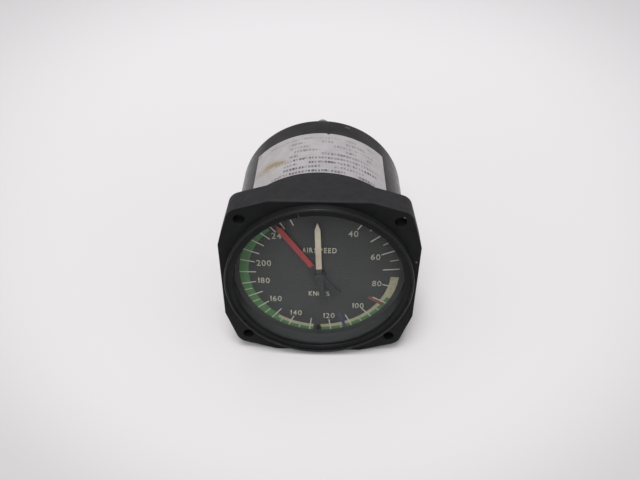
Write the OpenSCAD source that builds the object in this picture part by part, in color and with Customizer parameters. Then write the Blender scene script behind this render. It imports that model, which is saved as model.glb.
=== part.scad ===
// Panel-mount airspeed indicator with a second, maximum-speed pointer.
// Frame: the dial axis is Y, the dial faces -Y and +Z is up. The origin lies on the dial
// axis in the front face of the mounting flange. Angles on the dial run clockwise from the
// top as seen from the front, which is a positive turn about +Y. Millimetres throughout.

/* [Flange] */
// Width and height of the flange across its flats
flange_w = 81.8; // [81:0.2:84]
// Length of the straight part of each side
flange_flat = 37.6; // [30:0.2:44]
// Slope of the tapered stretches towards the corners, degrees
flange_taper = 17; // [14:0.5:18]
// Radius of the corner tips
corner_r = 6; // [4:0.25:7]
// Thickness of the flange
flange_t = 11.4; // [9:0.2:14]
// Distance between neighbouring mounting holes
hole_spacing = 62.84; // [62:0.02:64]
// Diameter of the mounting holes
hole_d = 4.6; // [3.6:0.1:5.2]

/* [Front rim and glass] */
// Radial wall of the raised rim, outside the glass
rim_wall = 1.3; // [1.1:0.05:1.8]
// Height of the rim above the flange
rim_h = 3.7; // [2.8:0.1:4.2]
// Radius of the rim's outer edge
rim_edge_r = 0.9; // [0.4:0.1:1.2]
// Thickness of the cover glass
glass_t = 2; // [1.6:0.1:2.4]
// Thickness of the flat gasket behind the glass
gasket_t = 0.8; // [0.5:0.1:1.2]
// Thickness of the snap ring
snap_t = 1.5; // [1.2:0.1:1.8]
// Radial width of the shoulder under the glass
snap_w = 1.15; // [0.9:0.05:1.3]
// How far the snap ring reaches in over that shoulder's edge
snap_cover = 1.35; // [0.8:0.05:1.6]
// Opening angle of the snap ring's gap, degrees
snap_gap = 1; // [0.5:0.25:6]
// Place of the snap ring's gap on the dial, degrees
snap_gap_at = -13; // [-60:1:60]

/* [Dial] */
// Distance from the glass gasket's seat back to the dial
well_depth = 4.7; // [3.4:0.1:5.6]
// Radial width of the shoulder that the movement seats on
plate_seat = 2.35; // [1.6:0.05:2.8]
// Thickness of the dial sheet
dial_t = 0.8; // [0.5:0.1:1.2]
// Distance of the two dial screws from the dial's edge
dial_screw_inset = 4.45; // [3.4:0.05:5.4]
// Head diameter of the dial screws
dial_screw_head_d = 2.4; // [1.8:0.1:3]

/* [Pointers] */
// Rest direction of the airspeed pointer, degrees
airspeed_rest = -2.1; // [-10:0.1:10]
// Full travel of the airspeed pointer, degrees
airspeed_travel = 339; // [300:1:345]
// Rest direction of the maximum-speed pointer, degrees
limit_rest = -34.6; // [-60:0.2:0]
// Full travel of the maximum-speed pointer, degrees
limit_travel = 80; // [40:1:100]
// Reach of the airspeed pointer's tip
airspeed_tip = 28; // [24:0.2:31]
// Length of the airspeed pointer's sharpened end
airspeed_point = 3.6; // [2:0.1:6]
// Reach of the maximum-speed pointer's tip
limit_tip = 31; // [26:0.2:33]
// Length of the maximum-speed pointer's sharpened end
limit_point = 2.6; // [1.6:0.1:6]
// Width of the pointers' blades
pointer_w = 2.45; // [1.6:0.05:3]
// Reach of the pointers' tails
tail_reach = 13.6; // [11:0.2:16]
// Width of the tail's end
tail_w = 5.2; // [4:0.2:8]
// Angle by which the airspeed pointer's tail leans off the line of its blade, degrees
tail_lean = 6; // [-10:0.5:10]
// Thickness of the pointer sheet
pointer_t = 0.5; // [0.3:0.05:0.7]

/* [Case] */
// Outer diameter of the can
case_d = 78.4; // [75:0.1:78.6]
// Wall thickness of the can
case_wall = 1.3; // [1:0.1:1.8]
// Thickness of the can's rear wall
case_floor = 2.4; // [1.8:0.1:3]
// Distance from the flange's front face back to the can's rear face
case_rear = 71.6; // [69:0.2:80]
// Radius of the can's rear edge
case_edge_r = 3; // [1.5:0.25:4]
// Distance from the flange's front face back to the collar's rear edge
collar_rear = 20.9; // [19:0.1:24]
// Wall of the collar round the can
collar_wall = 1.4; // [1.3:0.02:2.6]
// Thickness of the seal at the can's mouth
seal_t = 0.8; // [0.5:0.1:1]
// Height of the static port above the dial axis
static_z = 27.25; // [25:0.25:28]
// Outer diameter of the static nipple's barbs
nipple_d = 8; // [6:0.1:9]
// Distance from the case's rear face to the nipple's end
nipple_reach = 16.6; // [13:0.2:20]
// Half angle that the data plate covers, degrees
label_half = 46.5; // [30:0.1:60]
// Turn of the data plate's middle off the top of the can, degrees
label_turn = -1.3; // [-5:0.1:5]
// Gap between the collar and the data plate
label_gap = 0.7; // [0.3:0.1:4]
// Distance from the data plate's rear edge to the can's rear face
label_margin = 14.8; // [6:0.2:24]
// Thickness of the data plate
label_t = 0.2; // [0.1:0.05:0.4]

/* [Movement] */
// Thickness of the front plate
front_plate_t = 2; // [1.6:0.1:2.4]
// Clear distance between the two plates
plate_gap = 17; // [16.6:0.1:20]
// Thickness of the rear plate
rear_plate_t = 2; // [1.6:0.1:2.4]
// Gap between the rear plate's edge and the can
rear_plate_gap = 7; // [4.5:0.25:7.5]
// Gear module
gear_m = 0.3; // [0.28:0.005:0.32]
// Teeth on each pinion
pinion_teeth = 12; // [12:1:14]
// Teeth that a full sector gear would have
sector_teeth = 100; // [96:1:104]
// Thickness of the sector plates
sector_t = 1.5; // [1:0.1:1.8]
// Length of a sector's tail, from its arbor to the arm that lifts it
tail_len = 8; // [7:0.25:8.5]
// Length of a rocking shaft's crank
crank_len = 3.1; // [2.8:0.1:3.4]
// Distance from the rear plate's rear face to the rocking shafts
rocker_back = 6; // [5.5:0.1:7.5]
// Turns of the hairspring
hairspring_turns = 5; // [3:1:6]
// Diameter of the pitot capsule
pitot_d = 38; // [34:0.5:38.5]
// Diameter of the aneroid capsule
aneroid_d = 28; // [22:0.5:28.5]
// Thickness of the pitot capsule
pitot_t = 7; // [5:0.25:8]
// Thickness of one aneroid cell
aneroid_t = 5; // [4:0.25:5.5]

/* [Hidden] */

$fn = 96;
// Clearances: a fixed seat, a thread, a pressed seat, a running pivot, and a free gap
// between moving pieces
seat_gap = 0.1;
thread_gap = 0.05;
press_gap = 0.01;
run_gap = 0.04;
free_gap = 0.3;
// Overshoot of a cut past the face that it opens
cut = 1;

// Bores across the dial axis, all built out from the can
case_r = case_d / 2;
case_in_r = case_r - case_wall;
bore_r = case_r + seat_gap;
collar_r = bore_r + collar_wall;
well_r = bore_r - plate_seat;
glass_bore_r = well_r + snap_w;
glass_r = glass_bore_r - seat_gap;
rim_r = glass_bore_r + rim_wall;
plate_r = bore_r - 2 * seat_gap;
dial_r = well_r - free_gap;

// Depths along the dial axis, from the rim back
rim_front = -rim_h;
rim_chamfer = 0.4;
rim_lip = 0.9;
snap_groove = 0.6;
snap_front = rim_front + rim_lip;
glass_front = snap_front + snap_t;
gasket_front = glass_front + glass_t;
shoulder = gasket_front + gasket_t;
dial_depth = shoulder + well_depth;
dial_rear = dial_depth + dial_t;
front_plate_rear = dial_rear + front_plate_t;
case_front = front_plate_rear + seal_t;
case_floor_y = case_rear - case_floor;
label_front = collar_rear + label_gap;
label_rear = case_rear - label_margin;

// Screws: two for the dial, three for the can
dial_screw_at = dial_r - dial_screw_inset;
case_screw_share = 0.6;
case_screw_y = case_front + (collar_rear - case_front) * case_screw_share;
case_screw_r = 1.1;
case_screw_head_r = 2.1;
case_screw_angles = [60, 180, 300];

// Movement planes, from the front plate back
rear_plate_front = front_plate_rear + plate_gap;
rear_plate_rear = rear_plate_front + rear_plate_t;
limit_plane_gap = 4;
airspeed_plane_gap = 5.2;
hairspring_gap = 1.6;
limit_plane = front_plate_rear + limit_plane_gap;
airspeed_plane = limit_plane + sector_t + airspeed_plane_gap;
hairspring_plane = airspeed_plane + sector_t + hairspring_gap;
rocker_y = rear_plate_rear + rocker_back;

// Gear train: one pinion size and one sector size serve both pointers
pinion_r = gear_m * pinion_teeth / 2;
sector_r = gear_m * sector_teeth / 2;
gear_distance = pinion_r + sector_r;
tooth_height_share = 0.7;
tooth_depth_share = 1.1;
tooth_height = tooth_height_share * gear_m;
tooth_depth = tooth_depth_share * gear_m;
tooth_share = 0.42;
pressure_angle = 20;
sector_spare_teeth = 2;
sector_hub_r = 2.4;
sector_boss = 0.4;
sector_rim = 1.7;
sector_spoke = 6;
tail_spare = 2;
gear_ratio = pinion_teeth / sector_teeth;
pinion_extra = 0.6;

// Rods of the levers and how far the arm lies from the tail that it lifts
arm_r = 0.6;
tail_r = 0.7;
lift_gap = 0.55;
lift = arm_r + tail_r + lift_gap;

// Airspeed train, below the axis
airspeed_pivot_at = 228.9;
airspeed_pivot_x = gear_distance * sin(airspeed_pivot_at);
airspeed_pivot_z = gear_distance * cos(airspeed_pivot_at);
airspeed_rocker_z = airspeed_pivot_z - lift;
pitot_z = airspeed_rocker_z - crank_len;
airspeed_arm_x = airspeed_pivot_x + tail_len;
airspeed_arm_len = rocker_y - airspeed_plane - sector_t / 2;
airspeed_sector_travel = airspeed_travel * gear_ratio;
airspeed_rocker_travel = airspeed_sector_travel * tail_len / airspeed_arm_len;

// Maximum-speed train, above the axis
limit_pivot_at = 330.7;
limit_pivot_x = gear_distance * sin(limit_pivot_at);
limit_pivot_z = gear_distance * cos(limit_pivot_at);
limit_rocker_z = limit_pivot_z + lift;
aneroid_z = limit_rocker_z + crank_len;
limit_arm_x = limit_pivot_x + tail_len;
limit_arm_len = rocker_y - limit_plane - sector_t / 2;
limit_sector_travel = limit_travel * gear_ratio;
limit_rocker_travel = limit_sector_travel * tail_len / limit_arm_len;

// Shafts on the dial axis
staff_r = 0.6;
pivot_r = 0.5;
sleeve_r = 1.3;
sleeve_seat_r = 1.1;
sleeve_bore_r = staff_r + run_gap;
bush_bore_r = sleeve_r + run_gap;
bush_r = 2.6;
bush_flange_r = 4;
bush_flange_t = 1.2;
pivot_bush_r = 1.5;
collet_r = 1.5;
collet_t = 1.2;

// Pointers, from the glass back
hub_r = 2.4;
blade_taper = 0.95;
tail_straight = 0.76;
tail_nip = 0.8;
boss_r = 1.7;
boss_t = 0.5;
airspeed_boss_t = 0.7;
limit_clear = 0.9;
airspeed_clear = 0.8;
limit_plate_y = dial_depth - limit_clear - pointer_t;
airspeed_plate_y = limit_plate_y - airspeed_clear - pointer_t;
staff_front = airspeed_plate_y - airspeed_boss_t;
sleeve_front = limit_plate_y - free_gap / 2;

// Hairspring
hairspring_w = 0.6;
hairspring_strip = 0.16;
hairspring_outer = 7;
stud_r = 0.7;

// Rocking shafts and their lugs
rocker_r = 0.9;
rocker_pivot_r = 0.6;
rocker_half = 6;
lug_t = 1.4;
lug_h = 4.4;
lug_foot = 5;
screw_grip = 4;
lug_inner = rocker_half + free_gap;
lug_screw_x = lug_inner + lug_t + lug_foot / 2;
small_screw_r = 0.7;
small_head_r = 1.5;
small_head_t = 0.9;
crank_pin_r = 0.6;
crank_pin_half = 1.6;
crank_t = 0.8;
crank_w = 1.4;

// Pillars between the plates, as places on the dial face: x, z
pillar_r = 2;
pillar_tenon_r = 1.2;
rear_plate_r = case_in_r - rear_plate_gap;
pillar_inset = 5;
pillar_angles = [75, 160, 255, 345];
pillar_places = [for (a = pillar_angles) (rear_plate_r - pillar_inset) * [sin(a), cos(a)]];

// Capsules: each post ends a free gap behind the crank pin it pushes
post_r = 1;
post_foot_r = 2.4;
post_foot_t = 1;
post_front = crank_pin_r + free_gap;
capsule_waves = 3;
capsule_seam = 0.8;
capsule_boss_r = 3;
wave_h = 0.35;
stem_len = 8.5;
stem_r = 3;
stem_bore_r = 1;
stem_hex_af = 9;
stem_hex_t = 3;
insert_boss = 4.5;
pitot_y = case_floor_y - insert_boss - stem_len - pitot_t;
aneroid_cells = 2;
aneroid_lead = 2;
aneroid_y = pitot_y - aneroid_lead;
cell_gap = 0.6;
aneroid_rear = aneroid_y + aneroid_cells * (aneroid_t + cell_gap) - cell_gap;
aneroid_stud_r = 1.4;
aneroid_neck = 1.5;
aneroid_neck_r = 2.2;
nut_af = 5;
nut_t = 1.6;
bridge_y = aneroid_rear + aneroid_neck;
bridge_t = 1.6;
bridge_w = 7;
bridge_pillar_r = 1.8;
bridge_clear = 6;
bridge_half = aneroid_d / 2 + bridge_clear;

// Ports: threaded insert in the rear wall
insert_r = 6.2;
insert_flange_r = 7.4;
insert_flange_t = 1.6;
port_r = 4.35;
port_depth = 6.5;
nipple_bore_r = 1.9;
nipple_hex_af = 11.1;
nipple_hex_t = 4;
barb_h = 0.7;

// Revolves a profile of (radius, depth) points about the dial axis
module turned() {
    rotate([-90, 0, 0]) rotate_extrude() children();
}

// Extrudes a shape, drawn as seen from the front, from depth y0 back to y1
module slab(y0, y1) {
    translate([0, y1, 0]) rotate([90, 0, 0]) linear_extrude(y1 - y0) children();
}

// Round bar along Y at (x, z)
module bar(r, y0, y1, x = 0, z = 0) {
    translate([x, y0, z]) rotate([-90, 0, 0]) cylinder(r = r, h = y1 - y0);
}

// Round tube along Y at (x, z)
module tube(r, bore, y0, y1, x = 0, z = 0) {
    difference() {
        bar(r, y0, y1, x, z);
        bar(bore, y0 - cut, y1 + cut, x, z);
    }
}

// Hexagonal bar along Y with across-flats size af
module hex_bar(af, y0, y1, x = 0, z = 0) {
    translate([x, y0, z]) rotate([-90, 0, 0]) cylinder(d = af / cos(30), h = y1 - y0, $fn = 6);
}

// Turns its children about the dial axis, clockwise as seen from the front
module dial_turn(angle, x = 0, z = 0) {
    translate([x, 0, z]) rotate([0, angle, 0]) translate([-x, 0, -z]) children();
}

// Cheese-head screw along Y, head seated at depth y and shank running to y + len
module screw(x, z, y, len, head_r, head_t, shank_r) {
    difference() {
        bar(head_r, y - head_t, y, x, z);
        translate([x - head_r - cut, y - head_t - cut, z - shank_r / 4])
            cube([2 * (head_r + cut), head_t / 2 + cut, shank_r / 2]);
    }
    bar(shank_r, y - shank_r / 10, y + len, x, z);
}

// The same screw with its head at the rear
module rear_screw(x, z, y, len, head_r, head_t, shank_r) {
    translate([0, y, 0]) mirror([0, 1, 0]) screw(x, z, 0, len, head_r, head_t, shank_r);
}

// Flange outline: a square with tapered stretches that meet in rounded corners
function flange_tip() =
    let (f = flange_flat / 2, h = flange_w / 2, t = tan(flange_taper))
    (h + f * t) / (1 + t);

module flange_outline() {
    f = flange_flat / 2;
    h = flange_w / 2;
    tip = flange_tip();
    difference() {
        polygon([for (q = [0:3])
            for (p = [[f, h], [tip, tip], [h, f]])
                [p.x * cos(-90 * q) - p.y * sin(-90 * q), p.x * sin(-90 * q) + p.y * cos(-90 * q)]]);
        for (q = [0:3]) rotate(90 * q) corner_trim(tip);
    }
}

// Material outside a corner's rounding, in the upper right quarter
module corner_trim(tip) {
    inset = corner_r / sin(45 + flange_taper);
    run = corner_r / tan(45 + flange_taper);
    translate([tip, tip]) rotate(45) difference() {
        translate([-run * cos(45 + flange_taper), -tip])
            square([tip, 2 * tip]);
        translate([-inset, 0]) circle(r = corner_r);
    }
}

module at_holes() {
    for (sx = [-1, 1])
        for (sz = [-1, 1])
            translate([sx * hole_spacing / 2, sz * hole_spacing / 2]) children();
}

// Moulded mounting frame: flange, raised rim in front, collar behind
module bezel_frame() {
    color([0.13, 0.14, 0.15]) difference() {
        union() {
            slab(0, flange_t) flange_outline();
            turned() rim_profile();
            bar(collar_r, flange_t / 2, collar_rear);
        }
        turned() bezel_bore();
        slab(-cut, flange_t + cut) at_holes() circle(d = hole_d);
        for (a = case_screw_angles) dial_turn(a) translate([0, case_screw_y, 0]) countersink();
    }
}

// Section of the raised rim with its rounded outer edge
module rim_profile() {
    translate([0, rim_front + rim_edge_r]) square([rim_r, rim_h + flange_t / 2 - rim_edge_r]);
    translate([0, rim_front]) square([rim_r - rim_edge_r, rim_edge_r]);
    translate([rim_r - rim_edge_r, rim_front + rim_edge_r]) circle(r = rim_edge_r, $fn = 48);
}

// Everything that is bored out of the frame, as one stepped profile
module bezel_bore() {
    groove_r = glass_bore_r + snap_groove;
    polygon([
        [0, rim_front - cut], [glass_bore_r + rim_chamfer + cut, rim_front - cut],
        [glass_bore_r, rim_front + rim_chamfer],
        [glass_bore_r, snap_front - run_gap], [groove_r, snap_front - run_gap],
        [groove_r, glass_front], [glass_bore_r, glass_front],
        [glass_bore_r, shoulder], [well_r, shoulder],
        [well_r, dial_rear], [bore_r, dial_rear],
        [bore_r, collar_rear + cut], [0, collar_rear + cut]
    ]);
}

// Countersunk hole through the collar, along +Z
module countersink() {
    cylinder(r = case_screw_r + seat_gap, h = collar_r + cut);
    translate([0, 0, collar_r - case_screw_head_r + case_screw_r])
        cylinder(r1 = case_screw_r + seat_gap, r2 = case_screw_head_r + seat_gap,
                 h = case_screw_head_r - case_screw_r);
    translate([0, 0, collar_r - run_gap]) cylinder(r = case_screw_head_r + seat_gap, h = cut);
}

// Split ring in the rim's groove, open at one place
module snap_ring() {
    ring_out = glass_bore_r + snap_groove - seat_gap;
    ring_in = well_r - snap_cover;
    edge = snap_t / 5;
    color([0.09, 0.09, 0.1]) difference() {
        turned() polygon([
            [ring_in + edge, snap_front], [ring_out, snap_front],
            [ring_out, glass_front], [ring_in, glass_front], [ring_in, snap_front + edge]
        ]);
        dial_turn(snap_gap_at) slab(snap_front - cut, glass_front + cut) polygon([
            [0, 0],
            [2 * rim_r * sin(-snap_gap / 2), 2 * rim_r * cos(snap_gap / 2)],
            [2 * rim_r * sin(snap_gap / 2), 2 * rim_r * cos(snap_gap / 2)]
        ]);
    }
}

module glass() {
    edge = glass_t / 10;
    color([0.75, 0.8, 0.82, 0.35]) turned() polygon([
        [0, glass_front], [glass_r - edge, glass_front], [glass_r, glass_front + edge],
        [glass_r, gasket_front - edge], [glass_r - edge, gasket_front], [0, gasket_front]
    ]);
}

module glass_gasket() {
    color([0.1, 0.1, 0.1]) tube(glass_r, well_r + seat_gap, gasket_front, shoulder);
}

// Dial sheet with a centre hole and two screw holes
module dial_plate() {
    color([0.25, 0.25, 0.27]) slab(dial_depth, dial_rear) difference() {
        circle(r = dial_r);
        circle(r = bush_r + seat_gap);
        for (s = [-1, 1]) translate([0, s * dial_screw_at]) circle(r = small_screw_r + seat_gap);
    }
}

module dial_screws() {
    color([0.08, 0.08, 0.08])
        for (s = [-1, 1])
            screw(0, s * dial_screw_at, dial_depth, dial_t + front_plate_t,
                  dial_screw_head_d / 2, small_head_t, small_screw_r);
}

// Pointer drawn upright: blade with pointed tip, hub disc and flared tail
module pointer_outline(tip, point, base, lean = 0) {
    half = pointer_w / 2;
    tip_half = half * blade_taper;
    neck = tail_w / 4;
    end = tail_w / 2;
    flare = -tail_reach * tail_straight;
    nip = tail_nip;
    root = hub_r / 2;
    polygon([
        [-half, -root], [-half, base], [-tip_half, tip - point], [0, tip],
        [tip_half, tip - point], [half, base], [half, -root]
    ]);
    circle(r = hub_r);
    rotate(lean) polygon([
        [-neck, root], [neck, root], [neck, flare], [end, nip - tail_reach],
        [end - nip, -tail_reach], [nip - end, -tail_reach],
        [-end, nip - tail_reach], [-neck, flare]
    ]);
}

module airspeed_pointer() {
    color([0.86, 0.83, 0.76]) dial_turn(airspeed_rest) difference() {
        union() {
            slab(airspeed_plate_y, airspeed_plate_y + pointer_t)
                pointer_outline(airspeed_tip, airspeed_point, hub_r, tail_lean);
            bar(boss_r, staff_front, airspeed_plate_y + pointer_t / 2);
        }
        bar(pivot_r + press_gap, staff_front - cut, airspeed_plate_y + cut);
    }
}

module limit_pointer() {
    color([0.75, 0.27, 0.27]) dial_turn(limit_rest) difference() {
        union() {
            slab(limit_plate_y, limit_plate_y + pointer_t)
                pointer_outline(limit_tip, limit_point, hub_r);
            bar(boss_r, limit_plate_y + pointer_t / 2, limit_plate_y + pointer_t + boss_t);
        }
        bar(sleeve_seat_r + press_gap, limit_plate_y - cut, limit_plate_y + pointer_t + cut);
    }
}

// Deep drawn can with a rounded rear edge, two port holes and three tapped holes
module case() {
    color([0.1, 0.1, 0.11]) difference() {
        turned() difference() {
            cup_profile(case_r, case_front, case_rear, case_edge_r);
            cup_profile(case_in_r, case_front - cut, case_floor_y,
                        max(case_edge_r - case_wall, case_wall / 2));
        }
        for (z = [static_z, pitot_z])
            bar(insert_r + thread_gap, case_floor_y - cut, case_rear + cut, 0, z);
        for (a = case_screw_angles)
            dial_turn(a) translate([0, case_screw_y, 0])
                cylinder(r = case_screw_r + thread_gap, h = case_r + cut);
    }
}

// Half section of a plain cup with rounded bottom edge
module cup_profile(r, y0, y1, edge) {
    translate([0, y0]) square([r, y1 - edge - y0]);
    translate([0, y0]) square([r - edge, y1 - y0]);
    translate([r - edge, y1 - edge]) intersection() {
        circle(r = edge);
        square(edge);
    }
}

module case_seal() {
    color([0.12, 0.12, 0.12]) tube(plate_r, case_in_r, front_plate_rear, case_front);
}

// Countersunk screws that hold the can in the collar
module case_screws() {
    color([0.2, 0.2, 0.21])
        for (a = case_screw_angles) dial_turn(a) translate([0, case_screw_y, 0]) difference() {
            union() {
                translate([0, 0, case_in_r]) cylinder(r = case_screw_r, h = collar_r - case_in_r - run_gap);
                translate([0, 0, collar_r - case_screw_head_r + case_screw_r - run_gap])
                    cylinder(r1 = case_screw_r, r2 = case_screw_head_r,
                             h = case_screw_head_r - case_screw_r);
            }
            translate([-case_screw_head_r, -case_screw_r / 4, collar_r - case_screw_r / 2])
                cube([2 * case_screw_head_r, case_screw_r / 2, cut]);
        }
}

// Thin plate that follows the can's top
module data_plate() {
    reach = 2 * case_r;
    color([0.72, 0.71, 0.73]) dial_turn(label_turn) slab(label_front, label_rear) intersection() {
        difference() {
            circle(r = case_r + label_t, $fn = 180);
            circle(r = case_r, $fn = 180);
        }
        polygon([
            [0, 0], [-reach * sin(label_half), reach * cos(label_half)], [0, 3 * reach],
            [reach * sin(label_half), reach * cos(label_half)]
        ]);
    }
}

// Threaded inserts in the rear wall; the port opens to the rear
module port_inserts() {
    color([0.42, 0.4, 0.36]) for (z = [static_z, pitot_z]) difference() {
        union() {
            bar(insert_r, case_floor_y - insert_boss, case_rear + insert_flange_t / 2, 0, z);
            bar(insert_flange_r, case_rear, case_rear + insert_flange_t, 0, z);
        }
        bar(port_r, case_rear + insert_flange_t - port_depth, case_rear + insert_flange_t + cut, 0, z);
        bar(stem_bore_r, case_floor_y - insert_boss - cut, case_rear, 0, z);
    }
}

// Hose nipple in the static port: threaded foot, hexagon and three barbs
module static_nipple() {
    seat = case_rear + insert_flange_t;
    end = case_rear + nipple_reach;
    hex_end = seat + nipple_hex_t;
    barbs = 3;
    pitch = (end - hex_end) / barbs;
    root = nipple_d / 2 - barb_h;
    color([0.36, 0.45, 0.52]) translate([0, 0, static_z]) difference() {
        union() {
            bar(port_r - thread_gap, seat - port_depth + free_gap, hex_end);
            hex_bar(nipple_hex_af, seat, hex_end);
            turned() for (i = [0:barbs - 1]) polygon([
                [0, hex_end + i * pitch - run_gap], [nipple_d / 2, hex_end + i * pitch - run_gap],
                [nipple_d / 2, hex_end + i * pitch + pitch / 4],
                [root, hex_end + (i + 1) * pitch], [0, hex_end + (i + 1) * pitch]
            ]);
        }
        bar(nipple_bore_r, seat - port_depth - cut, end + cut);
    }
}

// Round plate behind the dial, clamped between the frame's shoulder and the can
module front_plate() {
    color([0.62, 0.6, 0.55]) slab(dial_rear, front_plate_rear) difference() {
        circle(r = plate_r);
        circle(r = bush_r + press_gap);
        for (s = [-1, 1]) translate([0, s * dial_screw_at]) circle(r = small_screw_r + thread_gap);
        for (p = pillar_places) translate(p) circle(r = pillar_tenon_r + press_gap);
        pivot_holes();
    }
}

// Bush holes for the two sector arbors
module pivot_holes() {
    for (p = [[airspeed_pivot_x, airspeed_pivot_z], [limit_pivot_x, limit_pivot_z]])
        translate(p) circle(r = pivot_bush_r + press_gap);
}

// Plate that carries the rear pivots, with slots for the two arms
module rear_plate() {
    slot_reach = rocker_y - rear_plate_front;
    color([0.66, 0.6, 0.42]) slab(rear_plate_front, rear_plate_rear) difference() {
        circle(r = rear_plate_r);
        circle(r = pivot_bush_r + press_gap);
        pivot_holes();
        for (p = pillar_places) translate(p) circle(r = small_screw_r + thread_gap);
        arm_slot(airspeed_arm_x, airspeed_rocker_z, slot_reach * tan(airspeed_rocker_travel / 2));
        arm_slot(limit_arm_x, limit_rocker_z, slot_reach * tan(limit_rocker_travel / 2));
        for (s = [-1, 1])
            for (z = [airspeed_rocker_z, limit_rocker_z])
                translate([s * lug_screw_x, z]) circle(r = small_screw_r + thread_gap);
        for (s = [-1, 1])
            translate([s * bridge_half, aneroid_z]) circle(r = pillar_tenon_r + press_gap);
        translate([hairspring_outer, 0]) circle(r = stud_r + press_gap);
    }
}

// Upright slot that clears an arm of travel +-swing
module arm_slot(x, z, swing) {
    w = arm_r + 2 * free_gap;
    translate([x - w + run_gap, z - swing]) square([2 * (w - run_gap), 2 * swing]);
    for (s = [-1, 1]) translate([x, z + s * swing]) circle(r = w);
}

module plate_pillars() {
    color([0.7, 0.64, 0.42]) for (p = pillar_places) difference() {
        union() {
            bar(pillar_r, front_plate_rear, rear_plate_front, p.x, p.y);
            bar(pillar_tenon_r, dial_rear, front_plate_rear + cut, p.x, p.y);
        }
        bar(small_screw_r + thread_gap, rear_plate_front - screw_grip - cut, rear_plate_front + cut,
            p.x, p.y);
    }
}

module pillar_screws() {
    color([0.45, 0.45, 0.46]) for (p = pillar_places)
        rear_screw(p.x, p.y, rear_plate_rear, rear_plate_t + screw_grip,
                   small_head_r, small_head_t, small_screw_r);
}

// Flanged bush in the front plate that carries the sleeve
module centre_bush() {
    color([0.76, 0.62, 0.3]) difference() {
        union() {
            bar(bush_r, dial_depth + free_gap, front_plate_rear + bush_flange_t);
            bar(bush_flange_r, front_plate_rear, front_plate_rear + bush_flange_t);
        }
        bar(bush_bore_r, dial_depth - cut, front_plate_rear + bush_flange_t + cut);
    }
}

// Plain bushes, flush in both plates
module pivot_bushes() {
    hole = pivot_r + run_gap;
    color([0.76, 0.62, 0.3]) {
        tube(pivot_bush_r, hole, rear_plate_front, rear_plate_rear);
        for (p = [[airspeed_pivot_x, airspeed_pivot_z], [limit_pivot_x, limit_pivot_z]]) {
            tube(pivot_bush_r, hole, dial_rear, front_plate_rear, p.x, p.y);
            tube(pivot_bush_r, hole, rear_plate_front, rear_plate_rear, p.x, p.y);
        }
    }
}

// Angle between a base-circle point and the flank at radius r, degrees
function flank_turn(r, base) =
    r <= base ? 0 : let (t = sqrt(pow(r / base, 2) - 1)) t * 180 / PI - atan(t);

// One side of a tooth as [radius, half angle] from root to tip
function flank(pitch_r, teeth) =
    let (base = pitch_r * cos(pressure_angle),
         half = 360 / teeth * tooth_share / 2 + flank_turn(pitch_r, base),
         root = pitch_r - tooth_depth,
         tip = pitch_r + tooth_height,
         start = max(base, root))
    concat(root < base ? [[root, half]] : [],
           [for (i = [0:3]) let (r = start + (tip - start) * i / 3) [r, half - flank_turn(r, base)]]);

function polar(r, a) = [r * sin(a), r * cos(a)];

// Outline points of one tooth that stands at angle a
function tooth(pitch_r, teeth, a) =
    let (f = flank(pitch_r, teeth), n = len(f) - 1)
    concat([for (i = [0:n]) polar(f[i][0], a - f[i][1])],
           [for (i = [n:-1:0]) polar(f[i][0], a + f[i][1])]);

// Pinion with one tooth at angle a
module pinion_outline(a) {
    polygon([for (i = [0:pinion_teeth - 1])
        each tooth(pinion_r, pinion_teeth, a + i * 360 / pinion_teeth)]);
}

// Sector whose first gap lies at angle a and whose teeth follow in direction turn
module sector_outline(a, turn, travel) {
    step = 360 / sector_teeth;
    first = -sector_spare_teeth;
    last = ceil(travel / step) + sector_spare_teeth;
    rim = sector_r - tooth_depth;
    from = turn > 0 ? a + first * step : a - last * step;
    to = turn > 0 ? a + last * step : a - first * step;
    count = last - first;
    polygon(concat(
        [[0, 0]],
        [polar(rim, from)],
        [for (i = [0:count - 1]) each tooth(sector_r, sector_teeth, from + (i + 0.5) * step)],
        [polar(rim, to)]
    ));
}

// Sector plate with hub and tail: window cut to a light frame, bored for its arbor
module sector_plate(a, turn, travel, tail_at, y0) {
    mid = a + turn * travel / 2;
    spread = travel / 2 - sector_spoke;
    difference() {
        union() {
            slab(y0, y0 + sector_t) sector_outline(a, turn, travel);
            slab(y0, y0 + sector_t) rotate(-tail_at) translate([-tail_r, -sector_hub_r / 2])
                square([2 * tail_r, tail_len + tail_spare + sector_hub_r / 2]);
            bar(sector_hub_r, y0 - sector_boss, y0 + sector_t + sector_boss);
        }
        bar(staff_r + press_gap, y0 - cut, y0 + sector_t + cut);
        if (spread > sector_spoke / 2) slab(y0 - cut, y0 + sector_t + cut) sector_window(mid, spread);
    }
}

// Opening between a sector's hub and its toothed rim
module sector_window(mid, spread) {
    inner = sector_hub_r + sector_rim;
    outer = sector_r - tooth_depth - sector_rim;
    difference() {
        polygon([
            polar(inner, mid - spread), polar(outer, mid - spread),
            polar(outer / cos(spread), mid), polar(outer, mid + spread),
            polar(inner, mid + spread)
        ]);
        difference() {
            circle(r = 2 * sector_r);
            circle(r = outer);
        }
        circle(r = inner);
    }
}

// Direction from an arbor at (x, z) to the dial axis, clockwise from the top
function towards_axis(x, z) = atan2(-x, -z);

module airspeed_sector() {
    a = towards_axis(airspeed_pivot_x, airspeed_pivot_z);
    color([0.74, 0.64, 0.36]) translate([airspeed_pivot_x, 0, airspeed_pivot_z])
        sector_plate(a, 1, airspeed_sector_travel, 90 + airspeed_sector_travel / 2, airspeed_plane);
}

module limit_sector() {
    a = towards_axis(limit_pivot_x, limit_pivot_z);
    color([0.74, 0.64, 0.36]) translate([limit_pivot_x, 0, limit_pivot_z])
        sector_plate(a, -1, limit_sector_travel, 90 - limit_sector_travel / 2, limit_plane);
}

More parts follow.
